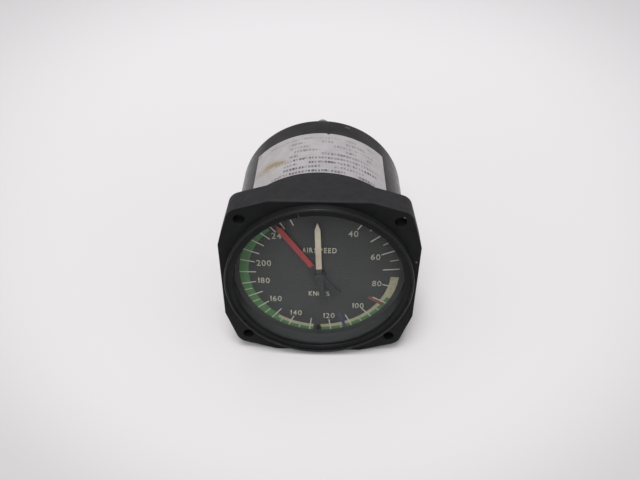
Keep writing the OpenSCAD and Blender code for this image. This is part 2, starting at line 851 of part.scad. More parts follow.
// Arbor of a sector: pivots in both plates, shoulders and a seat for the sector
module sector_arbor(x, z, y0) {
    color([0.55, 0.55, 0.57]) {
        bar(pivot_r, dial_rear + free_gap, rear_plate_rear - free_gap, x, z);
        bar(staff_r, front_plate_rear + free_gap, rear_plate_front - free_gap, x, z);
        bar(2 * staff_r, front_plate_rear + free_gap, y0 - sector_boss, x, z);
        bar(2 * staff_r, y0 + sector_t + sector_boss, rear_plate_front - free_gap, x, z);
    }
}

module airspeed_arbor() {
    sector_arbor(airspeed_pivot_x, airspeed_pivot_z, airspeed_plane);
}

module limit_arbor() {
    sector_arbor(limit_pivot_x, limit_pivot_z, limit_plane);
}

// Staff of the airspeed pointer, with its pinion in mesh with the sector
module hand_staff() {
    mesh = towards_axis(-airspeed_pivot_x, -airspeed_pivot_z);
    y0 = airspeed_plane - pinion_extra / 2;
    y1 = airspeed_plane + sector_t + pinion_extra / 2;
    color([0.55, 0.55, 0.57]) {
        bar(pivot_r, staff_front, rear_plate_rear - free_gap);
        bar(staff_r, airspeed_plate_y + pointer_t, rear_plate_front - free_gap);
        slab(y0, y1) pinion_outline(mesh);
    }
}

// Hollow staff of the maximum-speed pointer, with its own pinion
module limit_sleeve() {
    mesh = towards_axis(-limit_pivot_x, -limit_pivot_z);
    y0 = limit_plane - pinion_extra / 2;
    y1 = limit_plane + sector_t + pinion_extra / 2;
    color([0.6, 0.6, 0.62]) difference() {
        union() {
            bar(sleeve_seat_r, sleeve_front, y1);
            bar(sleeve_r, limit_plate_y + pointer_t + boss_t, y1 + pinion_extra);
            bar(pinion_r - tooth_depth, front_plate_rear + bush_flange_t + free_gap / 2, y0);
            slab(y0, y1) pinion_outline(mesh);
        }
        bar(sleeve_bore_r, sleeve_front - cut, y1 + 2 * cut);
    }
}

// Flat spiral from the collet out to the stud
module hairspring() {
    steps = 30;
    n = hairspring_turns * steps;
    start = collet_r + hairspring_strip / 2;
    end = hairspring_outer - stud_r - hairspring_strip;
    function spiral(i, side) =
        polar(start + (end - start) * i / n + side * hairspring_strip / 2, 90 + i * 360 / steps);
    color([0.6, 0.62, 0.66]) slab(hairspring_plane, hairspring_plane + hairspring_w)
        polygon(concat([for (i = [0:n]) spiral(i, 1)], [for (i = [n:-1:0]) spiral(i, -1)]));
}

module hairspring_collet() {
    color([0.72, 0.6, 0.32])
        tube(collet_r, staff_r + press_gap, hairspring_plane - (collet_t - hairspring_w) / 2,
             hairspring_plane + (collet_t + hairspring_w) / 2);
}

module hairspring_stud() {
    color([0.72, 0.6, 0.32])
        bar(stud_r, hairspring_plane - hairspring_w / 2, rear_plate_rear, hairspring_outer, 0);
}

// Rocking shaft along X at its rest angle: pivots, long arm to the sector's tail, crank and pin
module rocker(z, arm_x, arm_len, rest, crank_dir) {
    translate([0, rocker_y, z]) {
        rotate([0, 90, 0]) {
            translate([0, 0, -rocker_half]) cylinder(r = rocker_r, h = 2 * rocker_half);
            translate([0, 0, -rocker_half - lug_t - free_gap])
                cylinder(r = rocker_pivot_r, h = 2 * (rocker_half + lug_t + free_gap));
        }
        rotate([rest, 0, 0]) {
            translate([arm_x, 0, 0]) rotate([90, 0, 0]) cylinder(r = arm_r, h = arm_len + sector_t);
            for (x = [-crank_pin_half - crank_t, crank_pin_half])
                translate([x, -crank_w / 2, crank_dir > 0 ? 0 : -crank_len])
                    cube([crank_t, crank_w, crank_len]);
            translate([-crank_pin_half - crank_t, 0, crank_dir * crank_len]) rotate([0, 90, 0])
                cylinder(r = crank_pin_r, h = 2 * (crank_pin_half + crank_t));
        }
    }
}

module airspeed_rocker() {
    color([0.5, 0.5, 0.52])
        rocker(airspeed_rocker_z, airspeed_arm_x, airspeed_arm_len, airspeed_rocker_travel / 2, -1);
}

module limit_rocker() {
    color([0.5, 0.5, 0.52])
        rocker(limit_rocker_z, limit_arm_x, limit_arm_len, -limit_rocker_travel / 2, 1);
}

// Angle lugs on the rear plate, two for each rocking shaft
module rocker_lugs() {
    color([0.66, 0.6, 0.42])
        for (z = [airspeed_rocker_z, limit_rocker_z])
            for (s = [0, 1]) mirror([s, 0, 0]) translate([lug_inner, rear_plate_rear, z]) difference() {
                union() {
                    translate([0, 0, -lug_h / 2]) cube([lug_t + lug_foot, lug_t, lug_h]);
                    translate([0, 0, -lug_h / 2]) cube([lug_t, rocker_back, lug_h]);
                    translate([0, rocker_back, 0]) rotate([0, 90, 0]) cylinder(d = lug_h, h = lug_t);
                }
                translate([-cut, rocker_back, 0]) rotate([0, 90, 0])
                    cylinder(r = rocker_pivot_r + run_gap, h = lug_t + 2 * cut);
                translate([lug_screw_x - lug_inner, -cut, 0]) rotate([-90, 0, 0])
                    cylinder(r = small_screw_r + thread_gap, h = lug_t + 2 * cut);
            }
}

module lug_screws() {
    color([0.45, 0.45, 0.46])
        for (z = [airspeed_rocker_z, limit_rocker_z])
            for (s = [-1, 1])
                rear_screw(s * lug_screw_x, z, rear_plate_rear + lug_t, lug_t + rear_plate_t,
                           small_head_r, small_head_t, small_screw_r);
}

// Half section of a corrugated capsule of diameter d between depths y0 and y1
module capsule_profile(d, y0, y1) {
    rim = d / 2;
    seam = capsule_seam;
    steps = 8;
    n = capsule_waves * steps;
    mid = (y0 + y1) / 2;
    function wave(i) = wave_h * (1 - cos(i * 360 / steps)) / 2;
    function along(i) = capsule_boss_r + (rim - 2 * seam - capsule_boss_r) * i / n;
    polygon(concat(
        [[0, y0]],
        [for (i = [0:n]) [along(i), y0 + wave(i)]],
        [[rim - seam, mid - seam / 2], [rim, mid - seam / 2]],
        [[rim, mid + seam / 2], [rim - seam, mid + seam / 2]],
        [for (i = [n:-1:0]) [along(i), y1 - wave(i)]],
        [[0, y1]]
    ));
}

module pitot_capsule() {
    color([0.72, 0.56, 0.3]) translate([0, 0, pitot_z]) difference() {
        turned() capsule_profile(pitot_d, pitot_y, pitot_y + pitot_t);
        turned() polygon([
            [0, pitot_y + pitot_t / 3], [pitot_d / 2 - capsule_boss_r, pitot_y + pitot_t / 2],
            [stem_bore_r, pitot_y + pitot_t * 2 / 3], [stem_bore_r, pitot_y + pitot_t + cut],
            [0, pitot_y + pitot_t + cut]
        ]);
    }
}

// Centre post soldered to the capsule's front, ending at the crank pin
module capsule_post() {
    back_off = crank_len * sin(airspeed_rocker_travel / 2);
    color([0.62, 0.62, 0.64]) {
        bar(post_r, rocker_y + back_off + post_front, pitot_y, 0, pitot_z);
        bar(post_foot_r, pitot_y - post_foot_t, pitot_y, 0, pitot_z);
    }
}

// Tube that carries the capsule on the pitot port
module capsule_stem() {
    front = pitot_y + pitot_t;
    rear = case_floor_y - insert_boss;
    color([0.72, 0.6, 0.32]) difference() {
        union() {
            bar(stem_r, front, rear, 0, pitot_z);
            hex_bar(stem_hex_af, rear - stem_hex_t, rear, 0, pitot_z);
        }
        bar(stem_bore_r, front - cut, rear + cut, 0, pitot_z);
    }
}

// Two sealed cells in a stack, with a stud at the rear
module aneroid_capsule() {
    color([0.7, 0.66, 0.56]) translate([0, 0, aneroid_z]) {
        for (i = [0:aneroid_cells - 1]) {
            y = aneroid_y + i * (aneroid_t + cell_gap);
            turned() capsule_profile(aneroid_d, y, y + aneroid_t);
        }
        bar(aneroid_neck_r, aneroid_y + cut, bridge_y);
        bar(aneroid_stud_r, bridge_y - cut, bridge_y + bridge_t + nut_t + aneroid_neck / 2);
    }
}

module aneroid_post() {
    back_off = crank_len * sin(limit_rocker_travel / 2);
    color([0.62, 0.62, 0.64]) {
        bar(post_r, rocker_y + back_off + post_front, aneroid_y, 0, aneroid_z);
        bar(post_foot_r, aneroid_y - post_foot_t, aneroid_y, 0, aneroid_z);
    }
}

// Flat bridge behind the aneroid
module aneroid_bridge() {
    color([0.66, 0.6, 0.42]) translate([0, 0, aneroid_z]) slab(bridge_y, bridge_y + bridge_t) difference() {
        union() {
            square([2 * bridge_half, bridge_w], center = true);
            for (s = [-1, 1]) translate([s * bridge_half, 0]) circle(d = bridge_w);
        }
        circle(r = aneroid_stud_r + thread_gap);
        for (s = [-1, 1]) translate([s * bridge_half, 0]) circle(r = small_screw_r + thread_gap);
    }
}

module bridge_pillars() {
    color([0.7, 0.64, 0.42]) for (s = [-1, 1]) difference() {
        union() {
            bar(bridge_pillar_r, rear_plate_rear, bridge_y, s * bridge_half, aneroid_z);
            bar(pillar_tenon_r, rear_plate_front, rear_plate_rear + cut, s * bridge_half, aneroid_z);
        }
        bar(small_screw_r + thread_gap, bridge_y - screw_grip - cut, bridge_y + cut,
            s * bridge_half, aneroid_z);
    }
}

module bridge_screws() {
    color([0.45, 0.45, 0.46]) for (s = [-1, 1])
        rear_screw(s * bridge_half, aneroid_z, bridge_y + bridge_t, bridge_t + screw_grip,
                   small_head_r, small_head_t, small_screw_r);
}

module aneroid_nut() {
    color([0.72, 0.6, 0.32]) difference() {
        hex_bar(nut_af, bridge_y + bridge_t, bridge_y + bridge_t + nut_t, 0, aneroid_z);
        bar(aneroid_stud_r + thread_gap, bridge_y, bridge_y + bridge_t + nut_t + cut, 0, aneroid_z);
    }
}

bezel_frame();
snap_ring();
glass();
glass_gasket();
dial_plate();
dial_screws();
airspeed_pointer();
limit_pointer();
case();
case_seal();
case_screws();
data_plate();
port_inserts();
static_nipple();
front_plate();
rear_plate();
plate_pillars();
pillar_screws();
centre_bush();
pivot_bushes();
hand_staff();
limit_sleeve();
hairspring();
hairspring_collet();
hairspring_stud();
airspeed_sector();
airspeed_arbor();
limit_sector();
limit_arbor();
airspeed_rocker();
limit_rocker();
rocker_lugs();
lug_screws();
pitot_capsule();
capsule_post();
capsule_stem();
aneroid_capsule();
aneroid_post();
aneroid_bridge();
bridge_pillars();
bridge_screws();
aneroid_nut();
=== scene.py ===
import math

import bpy
from bpy.props import FloatProperty, FloatVectorProperty, PointerProperty
from bpy.types import NodeSocket, Operator, Panel, PropertyGroup
from mathutils import Matrix, Vector


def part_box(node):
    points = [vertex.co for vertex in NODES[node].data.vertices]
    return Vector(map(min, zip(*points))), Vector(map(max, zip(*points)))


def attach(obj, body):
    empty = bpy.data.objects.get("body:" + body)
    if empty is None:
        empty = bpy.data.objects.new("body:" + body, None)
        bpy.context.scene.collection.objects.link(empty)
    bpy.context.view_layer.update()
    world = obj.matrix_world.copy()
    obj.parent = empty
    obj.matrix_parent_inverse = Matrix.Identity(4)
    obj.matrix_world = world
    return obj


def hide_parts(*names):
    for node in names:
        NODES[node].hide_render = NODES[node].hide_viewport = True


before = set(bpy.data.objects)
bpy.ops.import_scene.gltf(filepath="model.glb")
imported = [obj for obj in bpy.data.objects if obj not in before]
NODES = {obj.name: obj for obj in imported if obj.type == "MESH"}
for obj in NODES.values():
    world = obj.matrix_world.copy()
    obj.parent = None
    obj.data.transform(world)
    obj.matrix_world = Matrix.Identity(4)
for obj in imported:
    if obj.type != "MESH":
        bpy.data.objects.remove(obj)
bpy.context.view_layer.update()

bl_info = {
    "name": "Panel airspeed indicator",
    "version": (1, 0, 0),
    "blender": (4, 5, 0),
    "location": "View3D > Sidebar > Indicator",
    "description": "Dial print, finishes and stage of a panel airspeed indicator",
    "category": "Object",
}

MM = 0.001
DIAL_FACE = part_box("dial_plate")[0].y

# Mounting frame: its outline, its holes, the rounding of its front edges, its dust with painted top
# light, the painted highlight on its front top edge, and the painted sheen and real shine of its
# rim
FLANGE_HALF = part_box("bezel_frame")[1].z
COLLAR_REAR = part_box("bezel_frame")[1].y
COLLAR_R = 40.7 * MM
RIM_ROOT = 40 * MM
SIDE_END = 18.9 * MM
HOLE_PLACE = (31.42 * MM, 31.42 * MM)
HOLE_EDGE = 2.8 * MM
TOP_ROUND = 0.9 * MM
UPPER_ROUND = 0.45 * MM
SIDE_ROUND = 0.25 * MM
LOWER_ROUND = 0.1 * MM
ROUND_STEPS = 4
EDGE_TOLERANCE = 0.01 * MM
FLAT_TOLERANCE = 0.1 * MM
WELD = 2e-6
COPLANAR = math.radians(0.6)
SHARP = math.radians(35)
SMOOTH = math.radians(32)
WELL_R = 37.2 * MM
WELL_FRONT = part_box("glass_gasket")[1].y - 0.1 * MM
DUST_AND_TOP_LIGHT_RISE = (24 * MM, 33 * MM)
DUST_AND_TOP_LIGHT_BACK = (0.002 * MM, 0.03 * MM)
EDGE_RUB_AND_HIGHLIGHT = (TOP_ROUND, 0.35 * MM)
RIM_SHEEN_FADE = (-0.3 * MM, -0.6 * MM)
RIM_SHINE = -0.28
SPECKS = (((32.6 * MM, 33.6 * MM), 0.4 * MM), ((39.5 * MM, 11.6 * MM), 0.35 * MM))
SPECK_GREY = (0.3, 0.3, 0.28)

# Can: its rounded rear edge, the wear there and a chip in its paint
CAN_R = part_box("case")[1].x
CAN_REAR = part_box("case")[1].y
CAN_EDGE = 3 * MM
WORN_EDGE = (CAN_REAR - 4 * MM, CAN_REAR - 2 * MM)
CHIP_PLACE = (11.9 * MM, 66.4 * MM)
CHIP_REACH = (1.5 * MM, 0.8 * MM)
BARE_METAL = (0.2, 0.15, 0.07)

# Data plate: rows of plain marks, stains as place, reach and depth, and a nick
LABEL_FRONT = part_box("data_plate")[0].y
LABEL_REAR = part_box("data_plate")[1].y
ROW_MARGIN = 2.2 * MM
ROW_PITCH = 3.5 * MM
ROW_SHARE = 0.5
WORD_LENGTH = 5.2 * MM
WORD_GAPS = 0.22
MARK_PITCH = 1.35 * MM
MARK_INK = (0.055, 0.05, 0.065)
SPREAD_DRAW, SHIFT_DRAW = 7.0, 3.0
STAINS = (
    ((-23.2 * MM, 37.5 * MM), (12 * MM, 3.6 * MM), 0.85),
    ((-24 * MM, 38 * MM), (17 * MM, 9 * MM), 0.18),
    ((-31 * MM, 54 * MM), (1.8 * MM, 2 * MM), 0.7),
    ((-17.7 * MM, 25.8 * MM), (1.4 * MM, 1.2 * MM), 0.7),
)
NICK_PLACE = (2.9 * MM, LABEL_REAR)
NICK_REACH = (0.7 * MM, 0.9 * MM)

# Dial: directions in degrees clockwise from the top, places and radii in millimetres.
# The scale pairs a speed with its direction, an arc has two edges, a start and an end,
# and a limit line has two radii, a direction and its wear. Lines and ticks are raised by
# a number of inks.
SCALE = (
    (40, 33.2), (110, 154), (140, 203.7), (160, 232.9), (180, 258.8),
    (200, 281.5), (220, 301.6), (240, 320), (260, 336.8),
)
TENS = range(40, 261, 10)
FREE_FIVES = (*range(45, 70, 10), *range(155, 180, 10))
ARC_FIVES = range(95, 150, 10)
WHITE_ARC_TICK = 80
ARC_STEP = 1.5
GREEN_ARCS = (
    ("split", "arc_outer", 114, 178.6),
    ("split", "arc_outer", 184.4, 215.5),
    ("wide_inner", "arc_outer", 215.5, 318),
)
WHITE_ARCS = (
    ("white_inner", "arc_outer", 92.8, 114),
    ("white_inner", "split", 114, 178.6),
    ("white_inner", "split", 184.4, 215.2),
)
LIMIT_LINES = (("blue", 24.8, 34, 159.1, 0.3), ("red", 25.5, 33.3, 121.7, 0.25))
LINE_INKS, TICK_INKS = 1.5, 2
NUMBERS = {
    40: (13.6, 21.2), 60: (23.3, 9.3), 80: (24.75, -5.35), 100: (17.35, -18.6),
    120: (4.6, -25.05), 140: (-10.15, -23.6), 160: (-18.95, -15.2), 180: (-23.8, -4.7),
    200: (-23.5, 5.0), 240: (-16.6, 19.5),
}
LEGENDS = (("AIRSPEED", -0.05, 12.3, 0.51), ("KNOTS", 0.0, -11.8, 0.25))
DIGIT_WIDTH = 0.57
LETTER_WIDTHS = {
    "1": 0.17, "A": 0.56, "I": 0.12, "R": 0.58, "S": 0.55, "P": 0.55,
    "E": 0.46, "D": 0.66, "K": 0.63, "N": 0.65, "O": 0.66, "T": 0.5,
}
NUMBER_WEIGHT = 0.008
LEGEND_WEIGHT = 0.018
LETTER_STEPS = 4
LETTER_WELD = 1e-6

# Pointers: direction at rest, where the coloured blade starts and where it has aged,
# and where the black end of the shafts stops
WHITE_DIRECTION = math.radians(-2.1)
WHITE_START = 4.3 * MM
RED_DIRECTION = math.radians(-34.6)
RED_START = 5.6 * MM
AGED_REACH = (12 * MM, 20 * MM)
PAINT_BLUR = 0.08 * MM
BLACK_END = (DIAL_FACE + 0.6 * MM, DIAL_FACE + 0.65 * MM)

# Noise between these limits gives soft patches; grain of turned, ground and cut metal;
# colours of the pieces that a user would leave as they are
PATCH = (0.3, 0.7)
TURNED = (1, 0.15, 1)
NIPPLE_GRAIN = (1, 0.2, 1)
PLATE_GRAIN = (0.1, 1, 1)
GEAR_GRAIN = (1, 1, 0.2)
SCREW_BLACK = (0.012, 0.012, 0.013)
INSERT_METAL = (0.36, 0.33, 0.27)
PLATE_METAL = (0.6, 0.57, 0.48)
RUBBER_DARK, RUBBER_LIGHT = (0.012, 0.012, 0.012), (0.03, 0.03, 0.03)
GLASS_TINT, GLASS_SHADOW, GLASS_IOR = (0.98, 0.99, 0.985), (0.95, 0.97, 0.965), 1.15

# Stage: the object leans back on its collar and on the rear edge of its can; the floor is
# painted darker towards the corners of the view and painted lighter towards the back
FLOOR_TILT = math.atan2(COLLAR_R - CAN_R, CAN_REAR - CAN_EDGE - COLLAR_REAR)
FLOOR_LIGHT_DEPTH = (0.0, 0.45)
FLOOR_EYE = 0.36
CORNER_MIDDLE, CORNER_REACH, CORNER_SHADE_FADE = (0, 2.26), (0.407, 1.13), (0.6, 2.0)
CORNER_SHADE_DEPTH = (-0.1, 0.3)
FLOOR_GRAIN = 0.02
FLOOR_SIZE = 6
FLOOR_CUTS = 8
LAMP_TINT = (1.0, 0.985, 0.97)
ROOM_TINT = (0.97, 0.97, 1.0)
OVERHEAD_PLACE, OVERHEAD_SIZE = (-0.12, -0.7, 2.2), 1.0
FRONT_PLACE, FRONT_SIZE = (-0.3, -1.5, 1.75), 0.8
SENSOR_WIDTH = 36
CLIP = (0.01, 50)


def amount(name, description, value, **settings):
    """Property for a plain number that a user would change."""
    return FloatProperty(name=name, description=description, default=value, **settings)


def length(name, description, millimetres):
    """Property for a size that a user would change."""
    return amount(name, description, millimetres * MM, min=0, unit="LENGTH", precision=5)


def colour(name, description, red, green, blue):
    """Property for a colour that a user would change."""
    shades = (red, green, blue)
    return FloatVectorProperty(
        name=name, description=description, default=shades, min=0, max=1, size=3, subtype="COLOR"
    )


def degrees(name, description, value):
    """Property for an angle that a user would change, given in degrees."""
    return amount(name, description, math.radians(value), subtype="ANGLE")


class DialSettings(PropertyGroup):
    """Sizes of the print on the dial."""

    ink: length("Ink", "Height of the print over the dial", 0.02)
    tick_outer: length("Tick end", "Outer end of the ticks", 34)
    major_inner: length("Major tick start", "Inner end of the bare ten-knot ticks", 27)
    labelled_inner: length("Numbered tick start", "Inner end of the ticks beside a number", 27.8)
    minor_inner: length("Minor tick start", "Inner end of the five-knot ticks", 30.4)
    major_width: length("Major tick width", "Width of the ten-knot ticks", 0.48)
    minor_width: length("Minor tick width", "Width of the five-knot ticks", 0.36)
    arc_outer: length("Arc edge", "Outer edge of the coloured arcs", 34)
    wide_inner: length("Wide arc edge", "Inner edge of the wide green arc", 30.1)
    white_inner: length("White arc edge", "Inner edge of the white arcs", 30.5)
    split: length("Arc split", "Edge between the thin white and the thin green arc", 32.2)
    numeral_height: length("Number height", "Height of the numbers", 3.1)
    number_gap: length("Number gap", "Space between the digits of a number", 0.45)
    legend_height: length("Legend height", "Height of the two legends", 2.7)
    red_width: length("Red line width", "Width of the red limit line", 1.55)
    blue_width: length("Blue line width", "Width of the blue limit line", 1.5)


class FinishSettings(PropertyGroup):
    """Colours of the finishes."""

    frame_black: colour("Frame black", "Moulded mounting frame", 0.0085, 0.009, 0.0095)
    # This colour is real dust and also painted top light. Lightened, it is the painted edge
    # highlight; darkened, the rim's painted sheen.
    dust: colour("Dust", "Dusty top of the mounting frame", 0.026, 0.026, 0.0275)
    well_grey: colour("Well grey", "Wall between the dial and the glass", 0.046, 0.046, 0.049)
    can_black: colour("Can black", "Painted can", 0.0285, 0.0275, 0.0277)
    dial_grey: colour("Dial grey", "Dial face", 0.0635, 0.0625, 0.064)
    ink_white: colour("Ink white", "White print", 0.57, 0.54, 0.45)
    ink_cream: colour("Ink cream", "White arcs, yellowed", 0.44, 0.4, 0.285)
    ink_green: colour("Ink green", "Green arcs", 0.105, 0.22, 0.098)
    ink_red: colour("Ink red", "Red limit line", 0.21, 0.095, 0.085)
    ink_blue: colour("Ink blue", "Blue limit line", 0.076, 0.082, 0.14)
    pointer_white: colour("Pointer white", "Blade of the airspeed pointer", 0.61, 0.56, 0.445)
    pointer_cream: colour("Pointer cream", "Aged root of that blade", 0.535, 0.435, 0.345)
    pointer_red: colour("Pointer red", "Blade of the maximum-speed pointer", 0.345, 0.064, 0.066)
    pointer_black: colour("Pointer black", "Hubs and tails of the pointers", 0.045, 0.046, 0.048)
    foil: colour("Foil", "Silver data plate", 0.50, 0.475, 0.485)
    stain: colour("Stain", "Old adhesive stain on the data plate", 0.30, 0.22, 0.09)
    brass: colour("Brass", "Turned brass pieces", 0.62, 0.46, 0.19)
    bronze: colour("Bronze", "Capsule sheet", 0.58, 0.40, 0.19)
    steel: colour("Steel", "Turned steel pieces", 0.48, 0.48, 0.50)
    nipple: colour("Nipple", "Anodised hose nipple", 0.2, 0.24, 0.25)


class StageSettings(PropertyGroup):
    """Camera, lamps and floor."""

    azimuth: degrees("Azimuth", "Camera direction round the object", 0.532)
    elevation: degrees("Elevation", "Camera height above the horizon", 37.593)
    roll: degrees("Roll", "Camera tilt", 0.696)
    distance: length("Distance", "Camera distance from its target", 246.141)
    target_x: length("Target X", "Sideways place of the camera's target", 0.159)
    target_z: length("Target Z", "Height of the camera's target", 22.232)
    lens: amount("Lens", "Focal length in millimetres", 34.93, min=1)
    floor: colour("Floor", "Pale floor", 0.80, 0.79, 0.80)
    overhead: amount("Overhead lamp", "Power of the overhead lamp", 32.0, unit="POWER")
    front: amount("Front lamp", "Power of the lamp above the camera", 14.0, unit="POWER")
    ambient: amount("Ambient", "Strength of the even light", 0.36, min=0)
    mirrored: amount("Mirrored", "Brightness of the pale room, seen or mirrored", 0.75, min=0)


def dial_settings():
    """Sizes of the dial's print in this scene."""
    return bpy.context.scene.indicator_dial


def finish_settings():
    """Colours of the finishes in this scene."""
    return bpy.context.scene.indicator_finish


def stage_settings():
    """Camera, lamps and floor of this scene."""
    return bpy.context.scene.indicator_stage


class Finish:
    """A material while it is put together, with short calls for the nodes it needs."""

    def __init__(self, name):
        self.material = bpy.data.materials.new(name)
        self.material.use_nodes = True
        self.tree = self.material.node_tree
        self.shader = self.tree.nodes["Principled BSDF"]
        self.place = self.node("ShaderNodeTexCoord").outputs["Object"]

    def node(self, kind, **settings):
        """New node with its settings."""
        made = self.tree.nodes.new(kind)
        for key, value in settings.items():
            setattr(made, key, value)
        return made

    def feed(self, socket, value):
        """Links a socket to another, or sets its value."""
        if isinstance(value, NodeSocket):
            self.tree.links.new(value, socket)
        elif hasattr(value, "__len__") and len(socket.default_value) == 4 and len(value) == 3:
            socket.default_value = (*value, 1)
        else:
            socket.default_value = value

    def set(self, **sockets):
        """Feeds sockets of the shader by name, with underscores for spaces."""
        for key, value in sockets.items():
            self.feed(self.shader.inputs[key.replace("_", " ")], value)

    def math(self, operation, first, second=0.0, third=0.0):
        """Result of a sum on values or sockets."""
        made = self.node("ShaderNodeMath", operation=operation)
        for socket, value in zip(made.inputs, (first, second, third)):
            self.feed(socket, value)
        return made.outputs[0]

    def ramp(self, value, low, high, start=0.0, end=1.0):
        """Smooth step from a start to an end as a value goes from low to high."""
        made = self.node("ShaderNodeMapRange", interpolation_type="SMOOTHSTEP")
        keys = ("Value", "From Min", "From Max", "To Min", "To Max")
        for key, number in zip(keys, (value, low, high, start, end)):
            self.feed(made.inputs[key], number)
        return made.outputs[0]

    def blend(self, share, first, second):
        """Mix of two colours."""
        made = self.node("ShaderNodeMix", data_type="RGBA")
        self.feed(made.inputs["Factor"], share)
        self.feed(made.inputs[6], first)
        self.feed(made.inputs[7], second)
        return made.outputs[2]

    def stretched(self, x, y, z):
        """Object coordinates scaled along each axis."""
        made = self.node("ShaderNodeMapping")
        made.inputs["Scale"].default_value = (x, y, z)
        self.tree.links.new(self.place, made.inputs["Vector"])
        return made.outputs[0]

    def noise(self, size, detail=3.0, roughness=0.55, vector=None):
        """Cloudy value with features of a size."""
        made = self.node("ShaderNodeTexNoise")
        self.feed(made.inputs["Vector"], vector or self.place)
        made.inputs["Scale"].default_value = 1 / size
        made.inputs["Detail"].default_value = detail
        made.inputs["Roughness"].default_value = roughness
        return made.outputs["Fac"]

    def uneven(self, size, low, high, detail=3.0):
        """Value that wanders between two limits over patches of a size."""
        return self.ramp(self.noise(size, detail), *PATCH, low, high)

    def mottled(self, base, size, dark, light, detail=3.0):
        """Colour that wanders between two shades of a base over patches of a size."""
        share = self.uneven(size, 0.0, 1.0, detail)
        return self.blend(share, shade(base, dark), shade(base, light))

    def axes(self):
        """The three object coordinates."""
        made = self.node("ShaderNodeSeparateXYZ")
        self.tree.links.new(self.place, made.inputs[0])
        return made.outputs

    def along(self, x, y, z):
        """Distance from the origin along a direction."""
        made = self.node("ShaderNodeVectorMath", operation="DOT_PRODUCT")
        self.tree.links.new(self.place, made.inputs[0])
        made.inputs[1].default_value = (x, y, z)
        return made.outputs["Value"]

    def away(self, first, second, place, reach):
        """Squared distance of two coordinates from a place, in units of the reach along each."""
        parts = []
        for value, middle, width in zip((first, second), place, reach):
            step = self.math("DIVIDE", self.math("SUBTRACT", value, middle), width)
            parts.append(self.math("MULTIPLY", step, step))
        return self.math("ADD", *parts)

    def random(self, first, second):
        """Random value for each pair of numbers."""
        pair = self.node("ShaderNodeCombineXYZ")
        self.feed(pair.inputs[0], first)
        self.feed(pair.inputs[1], second)
        made = self.node("ShaderNodeTexWhiteNoise", noise_dimensions="2D")
        self.tree.links.new(pair.outputs[0], made.inputs["Vector"])
        return made.outputs["Value"]

    def bump(self, height, strength, depth):
        """Fine surface relief."""
        made = self.node("ShaderNodeBump")
        made.inputs["Strength"].default_value = strength
        made.inputs["Distance"].default_value = depth
        self.feed(made.inputs["Height"], height)
        self.feed(self.shader.inputs["Normal"], made.outputs[0])


def shade(base, factor):
    """Darker or lighter copy of a colour."""
    return tuple(min(1.0, channel * factor) for channel in base)


def frame_finish():
    """Matte moulded plastic: scuffed, dusty on top with painted top light, a painted highlight on
    the front top edge, shinier and painted lighter on the rim, and grey in the well.
    """
    colours = finish_settings()
    base, dust_and_light_colour = tuple(colours.frame_black), tuple(colours.dust)
    made = Finish("frame_moulding")
    x, y, z = made.axes()
    cloud = made.noise(9 * MM)
    body = made.blend(made.ramp(cloud, *PATCH), shade(base, 0.8), shade(base, 1.2))
    scratch = made.noise(2.2 * MM, 2, vector=made.stretched(0.18, 1, 1.6))
    scuff = made.math("MULTIPLY", made.ramp(scratch, 0.66, 0.74), made.ramp(cloud, 0.45, 0.6))
    body = made.blend(made.math("MULTIPLY", scuff, 0.25), body, shade(base, 2.4))
    # Dust on the upward faces, which also carries painted top light: these faces are painted
    # lighter.
    dust = made.math("MULTIPLY", made.ramp(z, *DUST_AND_TOP_LIGHT_RISE), made.ramp(y, *DUST_AND_TOP_LIGHT_BACK))
    hole = made.away(made.math("ABSOLUTE", x), z, HOLE_PLACE, (HOLE_EDGE, HOLE_EDGE))
    dust = made.math("MULTIPLY", dust, made.math("GREATER_THAN", hole, 1.0))
    dust = made.math("MULTIPLY", dust, made.ramp(made.noise(4 * MM, 4), 0.25, 0.75, 0.75, 1.0))
    # The front top edge is painted lighter: rubbed wear and a painted highlight.
    rubbed_and_highlit_edge = made.ramp(y, *EDGE_RUB_AND_HIGHLIGHT)
    body = made.blend(dust, body, made.blend(rubbed_and_highlit_edge, dust_and_light_colour, shade(dust_and_light_colour, 1.15)))
    for place, reach in SPECKS:
        bare = made.math("LESS_THAN", made.away(x, z, place, (reach, reach)), 1.0)
        body = made.blend(made.math("MULTIPLY", bare, 0.55), body, SPECK_GREY)
    well = made.math("LESS_THAN", made.away(x, z, (0, 0), (WELL_R, WELL_R)), 1.0)
    well = made.math("MULTIPLY", well, made.math("GREATER_THAN", y, WELL_FRONT))
    # Painted sheen: the rim in front of the flange is painted lighter, besides being made smoother.
    rim = made.ramp(y, *RIM_SHEEN_FADE)
    body = made.blend(rim, body, shade(dust_and_light_colour, 0.55))
    made.set(Base_Color=made.blend(well, body, tuple(colours.well_grey)))
    rough = made.uneven(3 * MM, 0.53, 0.67)
    made.set(Roughness=made.math("MULTIPLY_ADD", rim, RIM_SHINE, rough), Specular_IOR_Level=0.1)
    made.bump(made.noise(0.28 * MM, 2), 0.15, 0.03 * MM)
    return made.material


def painted_finish(name, base, rough, gloss=0.5):
    """Black paint with a slight orange peel."""
    made = Finish(name)
    made.set(Base_Color=made.mottled(base, 7 * MM, 0.82, 1.18))
    made.set(Roughness=made.uneven(2.5 * MM, rough - 0.05, rough + 0.06))
    made.set(Specular_IOR_Level=gloss)
    made.bump(made.noise(0.9 * MM, 2), 0.12, 0.03 * MM)
    return made.material


